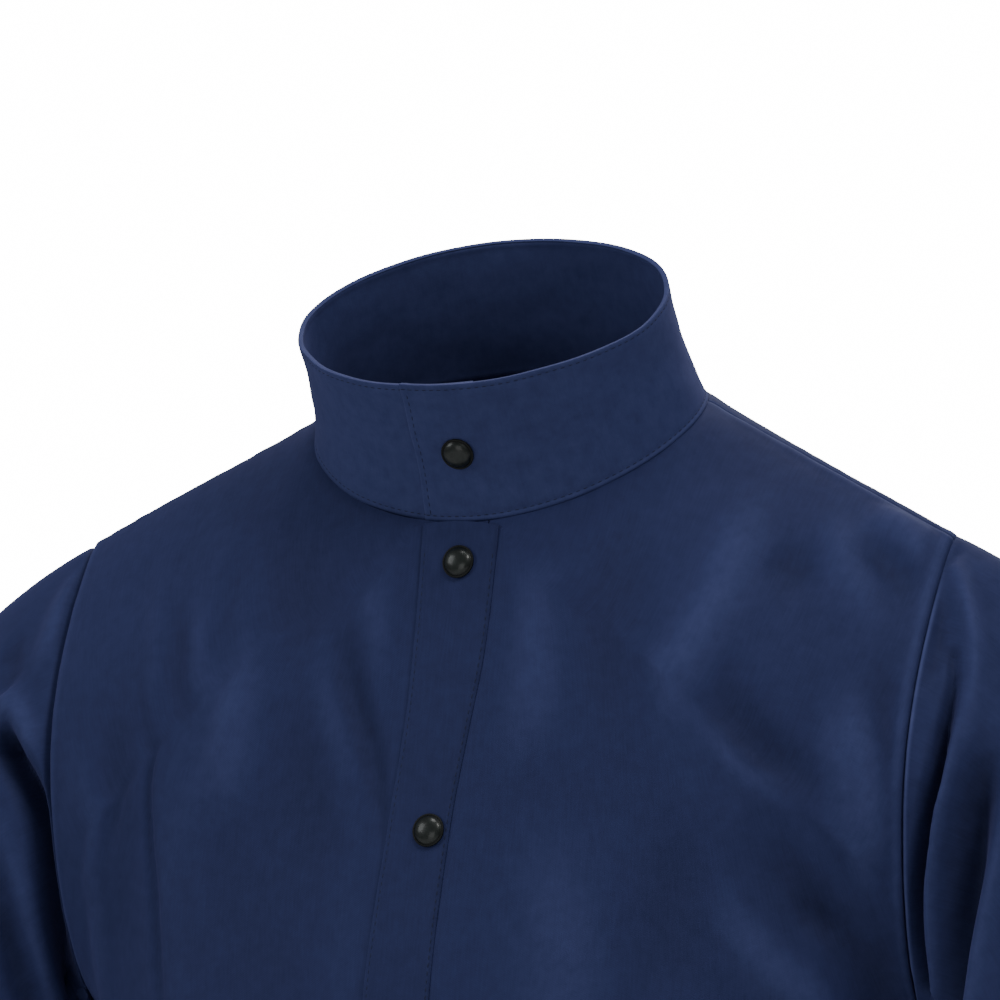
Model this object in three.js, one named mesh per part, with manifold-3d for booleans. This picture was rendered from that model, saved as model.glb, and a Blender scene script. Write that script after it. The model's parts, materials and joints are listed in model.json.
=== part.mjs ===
// A welder's jacket in flame-retardant cotton: two fronts, one back, two set-in sleeves, a stand-up
// collar and a front placket closed with domed snaps. Cloth is modelled as thin closed walls that
// meet seam to seam, hollow inside as the garment is when it is worn.
//
// Millimetres, +Z up. The origin is the nape, where the collar is sewn to the middle of the back.
// The jacket faces -Y and the wearer's left arm is on +X.
import * as THREE from "three";
import { mergeVertices } from "three/addons/utils/BufferGeometryUtils.js";
import Module from "manifold-3d";

// Body
const BACK_LENGTH = 762; // nape to hem
const CHEST_WIDTH = 412; // underarm to underarm
const FRONT_REACH = 199; // nape to the most forward part of the front
const BACK_REACH = 52; // nape to the rearmost part of the back

// Neck and collar
const NECK_WIDTH = 190;
const NECK_DEPTH = 126; // nape to the front of the neck seam
const NECK_SIDE_DROP = 20; // neck seam below the nape at the shoulders
const NECK_FRONT_DROP = 66; // and at the front
const COLLAR_HEIGHT = 68;
const COLLAR_RIM_WIDTH = 178;
const COLLAR_HOLLOW = 2.5; // the band curves in between its edges
const COLLAR_BACK_LEAN = 24; // degrees from upright
const COLLAR_FRONT_LEAN = 25;
const COLLAR_UNDERLAP = 22; // the under end runs this far past the middle

// Shoulders and armholes
const SHOULDER_WIDTH = 432; // tip to tip
const SHOULDER_DROP = 77; // tips below the nape
const SHOULDER_SET = 62; // tips forward of the nape
const ARMHOLE_HEIGHT = 222;
const ARMHOLE_BREADTH = 122; // front to back
const ARMHOLE_FORWARD = 8; // underarm forward of the tip
const SEAM_FORWARD = 6; // degrees that the shoulder seam is turned forward round the armhole
const SEAM_BACK = 12; // degrees that it is turned back round the neck

// Sleeves
const INNER_SEAM = 412; // underarm to cuff
const UPPER_ARM_BREADTH = 150; // front to back
const UPPER_ARM_DEPTH = 120; // inside to outside
const CUFF_BREADTH = 104;
const CUFF_DEPTH = 76;
const ARM_ANGLE = 12; // degrees that the sleeves hang away from the body
const ELBOW_REACH = 52; // the bent forearm brings the cuff this far forward

// Cloth, placket and hems
const CLOTH = 1.2;
const COLLAR_CLOTH = 2.2;
const PLACKET_CLOTH = 1.5;
const PLACKET_WIDTH = 32;
const PLACKET_SEWN = 5.5; // the placket covers this much of the left front
const UNDERLAP_EASE = 25; // degrees round the neck in which the collar's under end comes out
const UNDERLAP_CLEAR = 4; // it is all the way in this far before the free end
const HEM_WIDTH = 24;
const GAP = 0.3; // between pieces that lie on each other
const SEAM_GAP = 0.25; // each side of a seam

// Snaps
const SNAP_DIAMETER = 15.2;
const SNAP_HEIGHT = 3.4;
const SNAP_RIM = 1.1; // height of the rolled edge
const POST_DIAMETER = 4;
const POST_CLEARANCE = 0.3;
const STUD_DIAMETER = 10.6;
const STUD_HEIGHT = 1.8;
const STUD_CLEARANCE = 0.7; // room for the curve of the cloth under the stud
const COLLAR_SNAP_SIDE = 7; // the collar's snap is this far to the wearer's left
const FIRST_SNAP = 19; // below the neck seam, along the cloth
const LAST_SNAP = 70; // above the hem, along the cloth
const SNAP_COUNT = 6; // down the placket

// The largest folds, which the tables of folds give their rows as shares of.
const FOLD_WIDTH = 30;
const FOLD_DEPTH = 12;

// The body's folds grow from nothing to full between these distances from the middle.
const FOLDS_START = 26;
const FOLDS_FULL = 45;

// Rows and columns of each piece of cloth
const BODY_ROWS = 9; // above the hem band, to the underarm
const CHEST_ROWS = 4; // underarm to the front of the neck
const NECK_ROWS = 6; // along the front neck seam
const BACK_ROWS = 7; // underarm to nape
const PANEL_COLUMNS = 12;
const SLEEVE_ROWS = 21; // above the hem band, to the armhole
const ROW_CROWDING = 1.35; // power by which those rows lie closer near the armhole
const COLLAR_ROWS = 4;
const PLACKET_COLUMNS = 4;
const SNAP_SIDES = 12;

const CLOTH_COLOUR = 0x202c4a;
const CLOTH_ROUGHNESS = 0.92;
const SNAP_COLOUR = 0x101312;
const SNAP_ROUGHNESS = 0.35;
const SNAP_METALNESS = 0.6;

// The middle of the front and of the back from the neck seam to the hem: how far down, as a share
// of the way to the hem, and how far out, as a share of the way from the neck seam to the reach.
const FRONT_LINE = [
  { down: 0, out: 0 },
  { down: 0.03, out: 0.02 },
  { down: 0.1, out: 0.28 },
  { down: 0.2, out: 0.58 },
  { down: 0.3, out: 0.85 },
  { down: 0.45, out: 1 },
  { down: 0.7, out: 0.96 },
  { down: 1, out: 0.89 },
];
const BACK_LINE = [
  { down: 0, out: 0 },
  { down: 0.054, out: 0.36 },
  { down: 0.132, out: 0.7 },
  { down: 0.24, out: 0.9 },
  { down: 0.38, out: 0.93 },
  { down: 0.58, out: 0.84 },
  { down: 0.8, out: 0.9 },
  { down: 1, out: 1 },
];

// The placket from the neck seam to the hem: how far to the wearer's left of the middle its free
// edge, its sewn edge and its snaps are, as shares of its width. It drifts to the right as it hangs.
const PLACKET_LINE = [
  { down: 0, free: -0.5, sewn: 0.67, snap: 0.11 },
  { down: 0.08, free: -0.47, sewn: 0.62, snap: 0.11 },
  { down: 0.13, free: -0.485, sewn: 0.5, snap: 0.1 },
  { down: 0.19, free: -0.58, sewn: 0.37, snap: 0.08 },
  { down: 0.31, free: -0.735, sewn: 0.27, snap: -0.06 },
  { down: 0.45, free: -0.75, sewn: 0.25, snap: -0.2 },
  { down: 1, free: -0.75, sewn: 0.25, snap: -0.2 },
];

// The side seam from the underarm to the hem: how far it stands out, as a share of half the chest.
const SIDE_LINE = [
  { down: 0, out: 0 },
  { down: 0.1, out: -0.03 },
  { down: 0.35, out: -0.035 },
  { down: 0.7, out: -0.005 },
  { down: 1, out: 0.045 },
];

// How each row of the front and back runs, from the hem at -1 by the underarm at 0 to the shoulder
// seam at 1: how far it holds its first direction and its last one, as shares of its width, and
// which way it runs into the side seam or armhole.
const ROW_RUN = [
  { height: -1, lead: 0.5, hold: 0.31, x: 0, y: 1, z: 0 },
  { height: -0.4, lead: 0.5, hold: 0.31, x: 0, y: 1, z: 0 },
  { height: 0, lead: 0.47, hold: 0.31, x: 0.12, y: 1, z: -0.05 },
  { height: 0.3, lead: 0.39, hold: 0.3, x: 0.55, y: 0.75, z: -0.33 },
  { height: 0.6, lead: 0.34, hold: 0.3, x: 0.82, y: 0.4, z: -0.46 },
  { height: 1, lead: 0.34, hold: 0.33, x: 0.87, y: 0, z: -0.49 },
];

// How steeply the rows that start at the neck seam run down from it, in degrees, from the middle of
// the front or back to the shoulder seam.
const NECK_SLOPE = [
  { along: 0, front: 4, back: 18 },
  { along: 0.5, front: 22, back: 30 },
  { along: 1, front: 29, back: 29 },
];

// Rings of the sleeve from the armhole to the cuff: how far along the inner seam, how far the ring
// has turned from the armhole's plane to square with the arm, and its share of the armhole's, the
// upper arm's and the cuff's size.
const SLEEVE_RINGS = [
  { at: 0, along: 0, turned: 0, armhole: 1, upper: 0, cuff: 0 },
  { at: 0.09, along: 0.015, turned: 0.24, armhole: 0.8, upper: 0.17, cuff: 0 },
  { at: 0.17, along: 0.03, turned: 0.42, armhole: 0.56, upper: 0.41, cuff: 0 },
  { at: 0.25, along: 0.055, turned: 0.6, armhole: 0.28, upper: 0.72, cuff: 0 },
  { at: 0.34, along: 0.1, turned: 0.82, armhole: 0.06, upper: 0.94, cuff: 0 },
  { at: 0.44, along: 0.2, turned: 0.97, armhole: 0, upper: 1, cuff: 0 },
  { at: 0.66, along: 0.52, turned: 1, armhole: 0, upper: 0.7, cuff: 0.3 },
  { at: 0.85, along: 0.8, turned: 1, armhole: 0, upper: 0.22, cuff: 0.8 },
  { at: 1, along: 1, turned: 1, armhole: 0, upper: 0, cuff: 1 },
];

// Folds of the fronts and the back: valleys (deep > 0) and ridges (deep < 0) from one place to
// another. x is a share of half the chest, down a share of the back length.
const BODY_FOLDS = [
  { on: "front_right", x0: 0.74, down0: 0.13, x1: 0.68, down1: 0.3, wide: 0.75, deep: 0.35 },
  { on: "front_right", x0: 0.68, down0: 0.3, x1: 0.62, down1: 0.72, wide: 0.8, deep: 0.35 },
  { on: "front_right", x0: 0.86, down0: 0.34, x1: 0.8, down1: 0.9, wide: 0.8, deep: -0.3 },
  { on: "front_right", x0: 0.34, down0: 0.12, x1: 0.14, down1: 0.3, wide: 0.7, deep: 0.35 },
  { on: "front_right", x0: 0.3, down0: 0.5, x1: 0.36, down1: 0.95, wide: 1, deep: -0.3 },
  { on: "front_left", x0: 0.66, down0: 0.15, x1: 0.6, down1: 0.23, wide: 0.7, deep: 0.3 },
  { on: "front_left", x0: 0.8, down0: 0.26, x1: 0.72, down1: 0.6, wide: 1.1, deep: 0.5 },
  { on: "front_left", x0: 0.3, down0: 0.55, x1: 0.35, down1: 0.95, wide: 1, deep: -0.35 },
  { on: "back", x0: 0.75, down0: 0.3, x1: 0.5, down1: 0.6, wide: 1, deep: 0.4 },
  { on: "back", x0: 0.4, down0: 0.62, x1: 0.46, down1: 0.98, wide: 1, deep: -0.4 },
];

// Folds of the sleeves: at is the share of the way from armhole to cuff, and round the degrees from
// the top of the arm by the front.
const SLEEVE_FOLDS = [
  { on: "sleeve_left", at0: 0.024, round0: 48, at1: 0.03, round1: 118, wide: 0.35, deep: 0.5 },
  { on: "sleeve_left", at0: 0.046, round0: 36, at1: 0.06, round1: 118, wide: 0.4, deep: -0.4 },
  { on: "sleeve_left", at0: 0.1, round0: 60, at1: 0.12, round1: 108, wide: 0.8, deep: 0.5 },
  { on: "sleeve_left", at0: 0.58, round0: 80, at1: 0.66, round1: 165, wide: 0.6, deep: 0.5 },
  { on: "sleeve_left", at0: 0.52, round0: 80, at1: 0.58, round1: 160, wide: 0.5, deep: -0.3 },
  { on: "sleeve_right", at0: 0.06, round0: 0, at1: 0.2, round1: 0, wide: 1.5, deep: 0.35 },
  { on: "sleeve_right", at0: 0.02, round0: 84, at1: 0.1, round1: 50, wide: 0.45, deep: -0.5 },
  { on: "sleeve_right", at0: 0.02, round0: 104, at1: 0.12, round1: 70, wide: 0.5, deep: 0.8 },
  { on: "sleeve_right", at0: 0.06, round0: 104, at1: 0.1, round1: 130, wide: 0.5, deep: -0.35 },
  { on: "sleeve_right", at0: 0.57, round0: 80, at1: 0.65, round1: 165, wide: 0.6, deep: 0.5 },
  { on: "sleeve_right", at0: 0.5, round0: 80, at1: 0.57, round1: 160, wide: 0.5, deep: -0.3 },
];

const wasm = await Module();
wasm.setup();

const vec = (x, y, z) => new THREE.Vector3(x, y, z);
const radians = THREE.MathUtils.degToRad;

// A smooth curve through one column of a table, looked up by another.
function look(table, by, column, at) {
  const last = table.length - 1;
  const slope = (i) => {
    const a = table[Math.max(0, i - 1)];
    const b = table[Math.min(last, i + 1)];
    return (b[column] - a[column]) / (b[by] - a[by]);
  };
  let i = 0;
  while (i < last - 1 && at > table[i + 1][by]) i++;
  const step = table[i + 1][by] - table[i][by];
  const u = THREE.MathUtils.clamp((at - table[i][by]) / step, 0, 1);
  const a = table[i][column];
  const b = table[i + 1][column];
  return (
    a * (1 + 2 * u) * (1 - u) ** 2 +
    b * u * u * (3 - 2 * u) +
    slope(i) * step * u * (1 - u) ** 2 -
    slope(i + 1) * step * u * u * (1 - u)
  );
}

// A point of a cubic with both ends and both handles given.
function bezier(a, b, c, d, s) {
  const r = 1 - s;
  return vec(0, 0, 0)
    .addScaledVector(a, r ** 3)
    .addScaledVector(b, 3 * r * r * s)
    .addScaledVector(c, 3 * r * s * s)
    .addScaledVector(d, s ** 3);
}

const underarmDrop = SHOULDER_DROP + ARMHOLE_HEIGHT;
const sleeveLength = INNER_SEAM + ARMHOLE_HEIGHT;
const armGirth = (Math.PI * (UPPER_ARM_BREADTH + UPPER_ARM_DEPTH)) / 2;

// How far a fold at distance d from its line pushes the cloth in.
const foldAt = (fold, d) => fold.deep * FOLD_DEPTH * Math.exp(-((d / (fold.wide * FOLD_WIDTH)) ** 2));

// Distance of a flat point from the line between two others.
function lineDistance(px, py, ax, ay, bx, by) {
  const dx = bx - ax;
  const dy = by - ay;
  const t = THREE.MathUtils.clamp(((px - ax) * dx + (py - ay) * dy) / (dx * dx + dy * dy), 0, 1);
  return Math.hypot(px - ax - t * dx, py - ay - t * dy);
}

// How far the folds of a piece of the body push a point in. They end at the placket and the seams.
function bodyFold(piece, point, across, height) {
  const half = CHEST_WIDTH / 2;
  const clear = THREE.MathUtils.smoothstep(Math.abs(point.x), FOLDS_START, FOLDS_FULL);
  const seam = 1 - THREE.MathUtils.smoothstep(Math.abs(across), 0.85, 1);
  const neck = 1 - THREE.MathUtils.smoothstep(height, 0.8, 1);
  let push = 0;
  for (const fold of BODY_FOLDS) {
    if (fold.on !== piece) continue;
    const d = lineDistance(
      Math.abs(point.x),
      -point.z,
      fold.x0 * half,
      fold.down0 * BACK_LENGTH,
      fold.x1 * half,
      fold.down1 * BACK_LENGTH,
    );
    push += foldAt(fold, d);
  }
  return push * clear * seam * neck;
}

// The same for a sleeve, whose folds end at the armhole.
function sleeveFold(piece, at, degrees) {
  const seam = THREE.MathUtils.smoothstep(at, 0, 0.025);
  let push = 0;
  for (const fold of SLEEVE_FOLDS) {
    if (fold.on !== piece) continue;
    const d = lineDistance(
      at * sleeveLength,
      (degrees / 360) * armGirth,
      fold.at0 * sleeveLength,
      (fold.round0 / 360) * armGirth,
      fold.at1 * sleeveLength,
      (fold.round1 / 360) * armGirth,
    );
    push += foldAt(fold, d);
  }
  return push * seam;
}

// The neck seam. Angle 0 is the wearer's left, -90 the front and 90 the nape.
function neckSeam(degrees) {
  const a = radians(degrees);
  const fall = NECK_FRONT_DROP / 2;
  const flat = Math.cos(a) ** (Math.sin(a) < 0 ? 2 : 4);
  return vec(
    (NECK_WIDTH / 2) * Math.cos(a),
    (NECK_DEPTH / 2) * (Math.sin(a) - 1),
    fall * (Math.sin(a) - 1) + (fall - NECK_SIDE_DROP) * flat,
  );
}

// The top edge of the collar, a leaning ring over the neck seam.
function collarRim(degrees) {
  const a = radians(degrees);
  const lean = (angle) => vec(0, -Math.sin(angle), Math.cos(angle)).multiplyScalar(COLLAR_HEIGHT);
  const rear = neckSeam(90).add(lean(radians(COLLAR_BACK_LEAN)));
  const fore = neckSeam(-90).add(lean(radians(COLLAR_FRONT_LEAN)));
  const middle = rear.clone().add(fore).divideScalar(2);
  const half = rear.clone().sub(fore).divideScalar(2);
  return middle.addScaledVector(half, Math.sin(a)).add(vec((COLLAR_RIM_WIDTH / 2) * Math.cos(a), 0, 0));
}

// A point of the collar band, from the neck seam at 0 to the top edge at 1, moved inwards.
function collarPoint(degrees, up, inwards) {
  const a = radians(degrees);
  const hollow = 4 * COLLAR_HOLLOW * up * (1 - up);
  return neckSeam(degrees)
    .lerp(collarRim(degrees), up)
    .addScaledVector(vec(-Math.cos(a), -Math.sin(a), 0), inwards + hollow);
}

// A point of the left sleeve's ring. Angle 0 is the top and outside, 90 the front and 180 the
// underarm. The armhole is the ring at 0.
function sleeveRing(at, degrees, piece) {
  const a = radians(degrees);
  const along = look(SLEEVE_RINGS, "at", "along", at);
  const turned = look(SLEEVE_RINGS, "at", "turned", at);
  const armhole = look(SLEEVE_RINGS, "at", "armhole", at);
  const upper = look(SLEEVE_RINGS, "at", "upper", at);
  const cuff = look(SLEEVE_RINGS, "at", "cuff", at);
  const depth = armhole * ARMHOLE_HEIGHT + upper * UPPER_ARM_DEPTH + cuff * CUFF_DEPTH;
  const breadth = armhole * ARMHOLE_BREADTH + upper * UPPER_ARM_BREADTH + cuff * CUFF_BREADTH;
  const arm = radians(ARM_ANGLE);
  const upright = Math.atan2((SHOULDER_WIDTH - CHEST_WIDTH) / 2, ARMHOLE_HEIGHT);
  const tilt = THREE.MathUtils.lerp(upright, Math.PI / 2 - arm, turned);
  const bend = Math.max(0, along - 0.25) / 0.75;
  const middle = vec(
    CHEST_WIDTH / 2 + INNER_SEAM * along * Math.sin(arm),
    -SHOULDER_SET - ELBOW_REACH * bend ** 1.6 - ARMHOLE_FORWARD,
    -underarmDrop - INNER_SEAM * along * Math.cos(arm),
  ).addScaledVector(vec(Math.sin(tilt), 0, Math.cos(tilt)), depth / 2);
  middle.y += (1 - turned) * ARMHOLE_FORWARD * 0.5 * (1 + Math.cos(a));
  // The armhole is narrow at its top, where the sleeve's own rings are round.
  const narrow = 1 - 0.5 * armhole * Math.max(0, Math.cos(a)) ** 2;
  const spoke = vec(Math.sin(tilt), 0, Math.cos(tilt))
    .multiplyScalar((depth / 2) * Math.cos(a))
    .add(vec(0, -(breadth / 2) * Math.sin(a) * narrow, 0));
  const push = piece ? sleeveFold(piece, at, degrees) : 0;
  return middle.add(spoke).addScaledVector(spoke.clone().normalize(), -push);
}

const armhole = (degrees) => sleeveRing(0, degrees);

// The share of the way from underarm to shoulder seam at which the rows start at the neck.
const neckShare = (side) => (side < 0 ? CHEST_ROWS : BACK_ROWS) / (CHEST_ROWS + NECK_ROWS);

// Where a row of the front (side -1) or back (side 1) starts, and which way the cloth runs there.
function rowStart(side, height) {
  const share = neckShare(side);
  if (height <= share) {
    const top = side < 0 ? -NECK_FRONT_DROP : 0;
    const z =
      height < 0
        ? -underarmDrop + height * (BACK_LENGTH - underarmDrop)
        : THREE.MathUtils.lerp(-underarmDrop, top, height / share);
    const down = (top - z) / (top + BACK_LENGTH);
    const out =
      side < 0
        ? -NECK_DEPTH - (FRONT_REACH - NECK_DEPTH) * look(FRONT_LINE, "down", "out", down)
        : BACK_REACH * look(BACK_LINE, "down", "out", down);
    const slope = side < 0 ? 0 : radians(NECK_SLOPE[0].back) * Math.max(0, height / share);
    return { point: vec(0, out, z), run: vec(Math.cos(slope), 0, -Math.sin(slope)) };
  }
  const u = (height - share) / (1 - share);
  const slope = radians(look(NECK_SLOPE, "along", side < 0 ? "front" : "back", u));
  return {
    point: neckSeam(THREE.MathUtils.lerp(side * 90, SEAM_BACK, u)),
    run: vec(Math.cos(slope), 0, -Math.sin(slope)),
  };
}

// Where the row ends, on the side seam or the armhole.
function rowEnd(side, height) {
  if (height > 0) return armhole(180 + height * (side * 180 + SEAM_FORWARD));
  const end = armhole(180);
  end.x += (CHEST_WIDTH / 2) * look(SIDE_LINE, "down", "out", -height);
  end.z = rowStart(side, height).point.z;
  return end;
}

// A point of the left half of the body. Across 0 is the middle and 1 the side seam or armhole.
function bodyPoint(side, height, across, piece) {
  const { point: start, run } = rowStart(side, height);
  const end = rowEnd(side, height);
  const last = vec(
    look(ROW_RUN, "height", "x", height),
    -side * look(ROW_RUN, "height", "y", height),
    look(ROW_RUN, "height", "z", height),
  ).normalize();
  const width = end.distanceTo(start);
  const handles = [
    start.clone().addScaledVector(run, width * look(ROW_RUN, "height", "lead", height)),
    end.clone().addScaledVector(last, -width * look(ROW_RUN, "height", "hold", height)),
  ];
  const at = (s) => bezier(start, ...handles, end, s);
  const s = Math.abs(across);
  const point = at(s);
  const along = at(s + 0.01).sub(at(s - 0.01));
  const out = vec(-side * along.y, side * along.x, 0).normalize();
  if (piece) point.addScaledVector(out, -bodyFold(piece, point, across, height));
  if (across < 0) point.x = -point.x;
  return point;
}

// How far a column of the placket's table is to the wearer's left at the height of a row.
function placketLine(column, height) {
  const down = (-NECK_FRONT_DROP - rowStart(-1, height).point.z) / (BACK_LENGTH - NECK_FRONT_DROP);
  return PLACKET_WIDTH * look(PLACKET_LINE, "down", column, down);
}

// How far across a row has to go to be at a given distance from the middle.
function acrossAt(side, height, x) {
  if (rowStart(side, height).point.x >= Math.abs(x)) return 0;
  let low = 0;
  let high = 1;
  for (let i = 0; i < 30; i++) {
    const mid = (low + high) / 2;
    if (bodyPoint(side, height, mid).x < Math.abs(x)) low = mid;
    else high = mid;
  }
  return Math.sign(x) * low;
}

// A piece of cloth as rows of points. Rows may close into a ring. Points that coincide are one.
function clothOf(rows, ring = false) {
  const points = [];
  const index = new Map();
  const id = (p) => {
    const key = [p.x, p.y, p.z].map((c) => Math.round(c * 1000)).join();
    if (!index.has(key)) {
      index.set(key, points.length);
      points.push(p);
    }
    return index.get(key);
  };
  const faces = [];
  const add = (a, b, c) => {
    if (a !== b && b !== c && c !== a) faces.push([a, b, c]);
  };
  for (const grid of rows) {
    for (let i = 0; i + 1 < grid.length; i++) {
      const columns = grid[i].length;
      for (let j = 0; j + (ring ? 0 : 1) < columns; j++) {
        const next = (j + 1) % columns;
        const [a, b, c, d] = [grid[i][j], grid[i][next], grid[i + 1][next], grid[i + 1][j]].map(id);
        add(a, b, c);
        add(a, c, d);
      }
    }
  }
  return { points, faces };
}

function mirrored(cloth) {
  return {
    points: cloth.points.map((p) => vec(-p.x, p.y, p.z)),
    faces: cloth.faces.map(([a, b, c]) => [a, c, b]),
  };
}

// The outward direction at each point of a piece of cloth.
function normalsOf({ points, faces }) {
  const normals = points.map(() => vec(0, 0, 0));
  for (const [a, b, c] of faces) {
    const n = points[b].clone().sub(points[a]).cross(points[c].clone().sub(points[a]));
    for (const i of [a, b, c]) normals[i].add(n);
  }
  return normals.map((n) => n.normalize());
}

// Pieces that share seam points lean their walls the same way there, so the walls are mitred.
function mitreSeams(cloths) {
  const shared = new Map();
  for (const cloth of cloths) {
    cloth.normals = normalsOf(cloth);
    cloth.points.forEach((p, i) => {
      const key = [p.x, p.y, p.z].map((c) => Math.round(c * 20)).join();
      if (!shared.has(key)) shared.set(key, []);
      shared.get(key).push([cloth, i]);
    });
  }
  for (const places of shared.values()) {
    const sum = vec(0, 0, 0);
    for (const [cloth, i] of places) sum.add(cloth.normals[i]);
    sum.normalize();
    for (const [cloth, i] of places) cloth.normals[i] = sum.clone();
  }
}

// Gives cloth its wall: the outer face stands `out` from the seams' surface and the wall goes
// inwards by `thick`, a number or a function of the point. Its edges draw back by the seam gap.
function wallOf(cloth, thick, out = 0) {
  const { points, faces } = cloth;
  const normals = cloth.normals ?? normalsOf(cloth);
  const edges = new Map();
  for (const face of faces)
    for (let k = 0; k < 3; k++) {
      const [a, b] = [face[k], face[(k + 1) % 3]];
      if (edges.has(b + "," + a)) edges.delete(b + "," + a);
      else edges.set(a + "," + b, [a, b]);
    }
  const draw = points.map(() => vec(0, 0, 0));
  for (const [a, b] of edges.values()) {
    const along = points[b].clone().sub(points[a]).normalize();
    for (const i of [a, b]) draw[i].add(normals[i].clone().cross(along).normalize());
  }
  const outer = points.map((p, i) => {
    const back = draw[i].lengthSq() > 0 ? draw[i].normalize().multiplyScalar(SEAM_GAP) : draw[i];
    return p.clone().addScaledVector(normals[i], out).add(back);
  });
  const inner = outer.map((p, i) => {
    const depth = typeof thick === "number" ? thick : thick(points[i]);
    return p.clone().addScaledVector(normals[i], -depth);
  });
  const count = points.length;
  const triangles = [];
  for (const [a, b, c] of faces) triangles.push(a, b, c, a + count, c + count, b + count);
  // Both pieces at a seam split their edge strips along the same line.
  for (const [a, b] of edges.values())
    if (points[a].z < points[b].z) triangles.push(b, a, a + count, b, a + count, b + count);
    else triangles.push(b, a, b + count, a, a + count, b + count);
  const geometry = new THREE.BufferGeometry();
  geometry.setAttribute(
    "position",
    new THREE.Float32BufferAttribute([...outer, ...inner].flatMap((p) => [p.x, p.y, p.z]), 3),
  );
  geometry.setIndex(triangles);
  return geometry;
}

function solidOf(geometry) {
  const bare = geometry.clone();
  bare.deleteAttribute("normal");
  bare.deleteAttribute("uv");
  const merged = mergeVertices(bare, 1e-4);
  return new wasm.Manifold(
    new wasm.Mesh({
      numProp: 3,
      vertProperties: merged.attributes.position.array,
      triVerts: new Uint32Array(merged.index.array),
    }),
  );
}

function geometryOf(solid) {
  const mesh = solid.getMesh();
  const geometry = new THREE.BufferGeometry();
  geometry.setAttribute("position", new THREE.BufferAttribute(new Float32Array(mesh.vertProperties), 3));
  geometry.setIndex(new THREE.BufferAttribute(new Uint32Array(mesh.triVerts), 1));
  geometry.computeVertexNormals();
  return geometry;
}

// Heights of the rows of the front or back, from the hem to the shoulder seam.
function rowHeights() {
  const hem = HEM_WIDTH / (BACK_LENGTH - underarmDrop);
  const heights = [-1];
  for (let i = 0; i <= BODY_ROWS; i++) heights.push((1 - hem) * (i / BODY_ROWS - 1));
  for (let i = 1; i <= CHEST_ROWS + NECK_ROWS; i++) heights.push(i / (CHEST_ROWS + NECK_ROWS));
  return heights;
}

// The left half of the front or back, from a distance past the middle to the side seam. The
// distance is a function of the row's height.
function halfRows(side, edge, piece) {
  return rowHeights().map((height) => {
    const first = acrossAt(side, height, edge(height));
    const row = [];
    for (let j = 0; j <= PANEL_COLUMNS; j++)
      row.push(bodyPoint(side, height, THREE.MathUtils.lerp(first, 1, j / PANEL_COLUMNS), piece));
    return row;
  });
}

const frontCloth = (edge, piece) => clothOf([halfRows(-1, edge, piece)]);

function backCloth() {
  const left = halfRows(1, () => 0, "back");
  const right = left.map((row) => row.map((p) => vec(-p.x, p.y, p.z)));
  return clothOf([left.map((row) => [...row].reverse()), right]);
}

// Angles round the armhole that the rows of the front and back end at.
function armholeAngles() {
  const rows = CHEST_ROWS + NECK_ROWS;
  const angles = [];
  for (let i = 0; i < rows; i++) angles.push(180 - ((180 - SEAM_FORWARD) * i) / rows);
  for (let i = 0; i < rows; i++) angles.push(SEAM_FORWARD - ((180 + SEAM_FORWARD) * i) / rows);
  return angles;
}

// From the cuff to the armhole, with a row at the top of the hem band. The rows lie closer towards
// the armhole, where the sleeve turns and folds most.
function sleeveCloth(piece) {
  const hem = HEM_WIDTH / sleeveLength;
  const rows = [1];
  for (let i = SLEEVE_ROWS; i >= 0; i--) rows.push((1 - hem) * (i / SLEEVE_ROWS) ** ROW_CROWDING);
  return clothOf([rows.map((at) => armholeAngles().map((angle) => sleeveRing(at, angle, piece)))], true);
}

// Angles round the neck that the panels' rows start at, from past the middle of the front on the
// wearer's left, by the right shoulder and the nape, to the overlap on the wearer's right.
function neckAngles() {
  const quarter = [];
  for (let i = 0; i <= NECK_ROWS; i++) quarter.push(-90 + ((90 + SEAM_BACK) * i) / NECK_ROWS);
  const rear = CHEST_ROWS + NECK_ROWS - BACK_ROWS;
  for (let i = 1; i <= rear; i++) quarter.push(SEAM_BACK + ((90 - SEAM_BACK) * i) / rear);
  const past = (x) => THREE.MathUtils.radToDeg(Math.asin(x / (NECK_WIDTH / 2)));
  const under = past(COLLAR_UNDERLAP);
  const over = past(-PLACKET_WIDTH * PLACKET_LINE[0].free);
  const left = [...quarter].reverse();
  const right = quarter.map((a) => 180 - a);
  return [
    270 + under,
    270 + under / 2,
    ...right,
    ...left.slice(1),
    -90 - over,
  ];
}

// The collar band. Its under end lies inside the overlap and eases out to the seam past it.
function collarCloth() {
  const angles = neckAngles();
  const lap = UNDERLAP_CLEAR - PLACKET_WIDTH * PLACKET_LINE[0].free;
  const clear = 270 - THREE.MathUtils.radToDeg(Math.asin(lap / (NECK_WIDTH / 2)));
  const rows = [];
  for (let i = 0; i <= COLLAR_ROWS; i++)
    rows.push(
      angles.map((angle) => {
        const turn = THREE.MathUtils.smoothstep(angle, clear - UNDERLAP_EASE, clear);
        const inwards = turn * (COLLAR_CLOTH + GAP);
        return collarPoint(angle, i / COLLAR_ROWS, inwards);
      }),
    );
  return clothOf([rows.map((row) => row.reverse())]);
}

const placketHeights = () => rowHeights().slice(0, BODY_ROWS + CHEST_ROWS + 2);
const frontPoint = (height, x) => bodyPoint(-1, height, acrossAt(-1, height, x));

function placketCloth() {
  return clothOf([
    placketHeights().map((height) => {
      const [free, sewn] = [placketLine("free", height), placketLine("sewn", height)];
      const row = [];
      for (let j = 0; j <= PLACKET_COLUMNS; j++)
        row.push(frontPoint(height, THREE.MathUtils.lerp(free, sewn, j / PLACKET_COLUMNS)));
      return row;
    }),
  ]);
}

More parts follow.
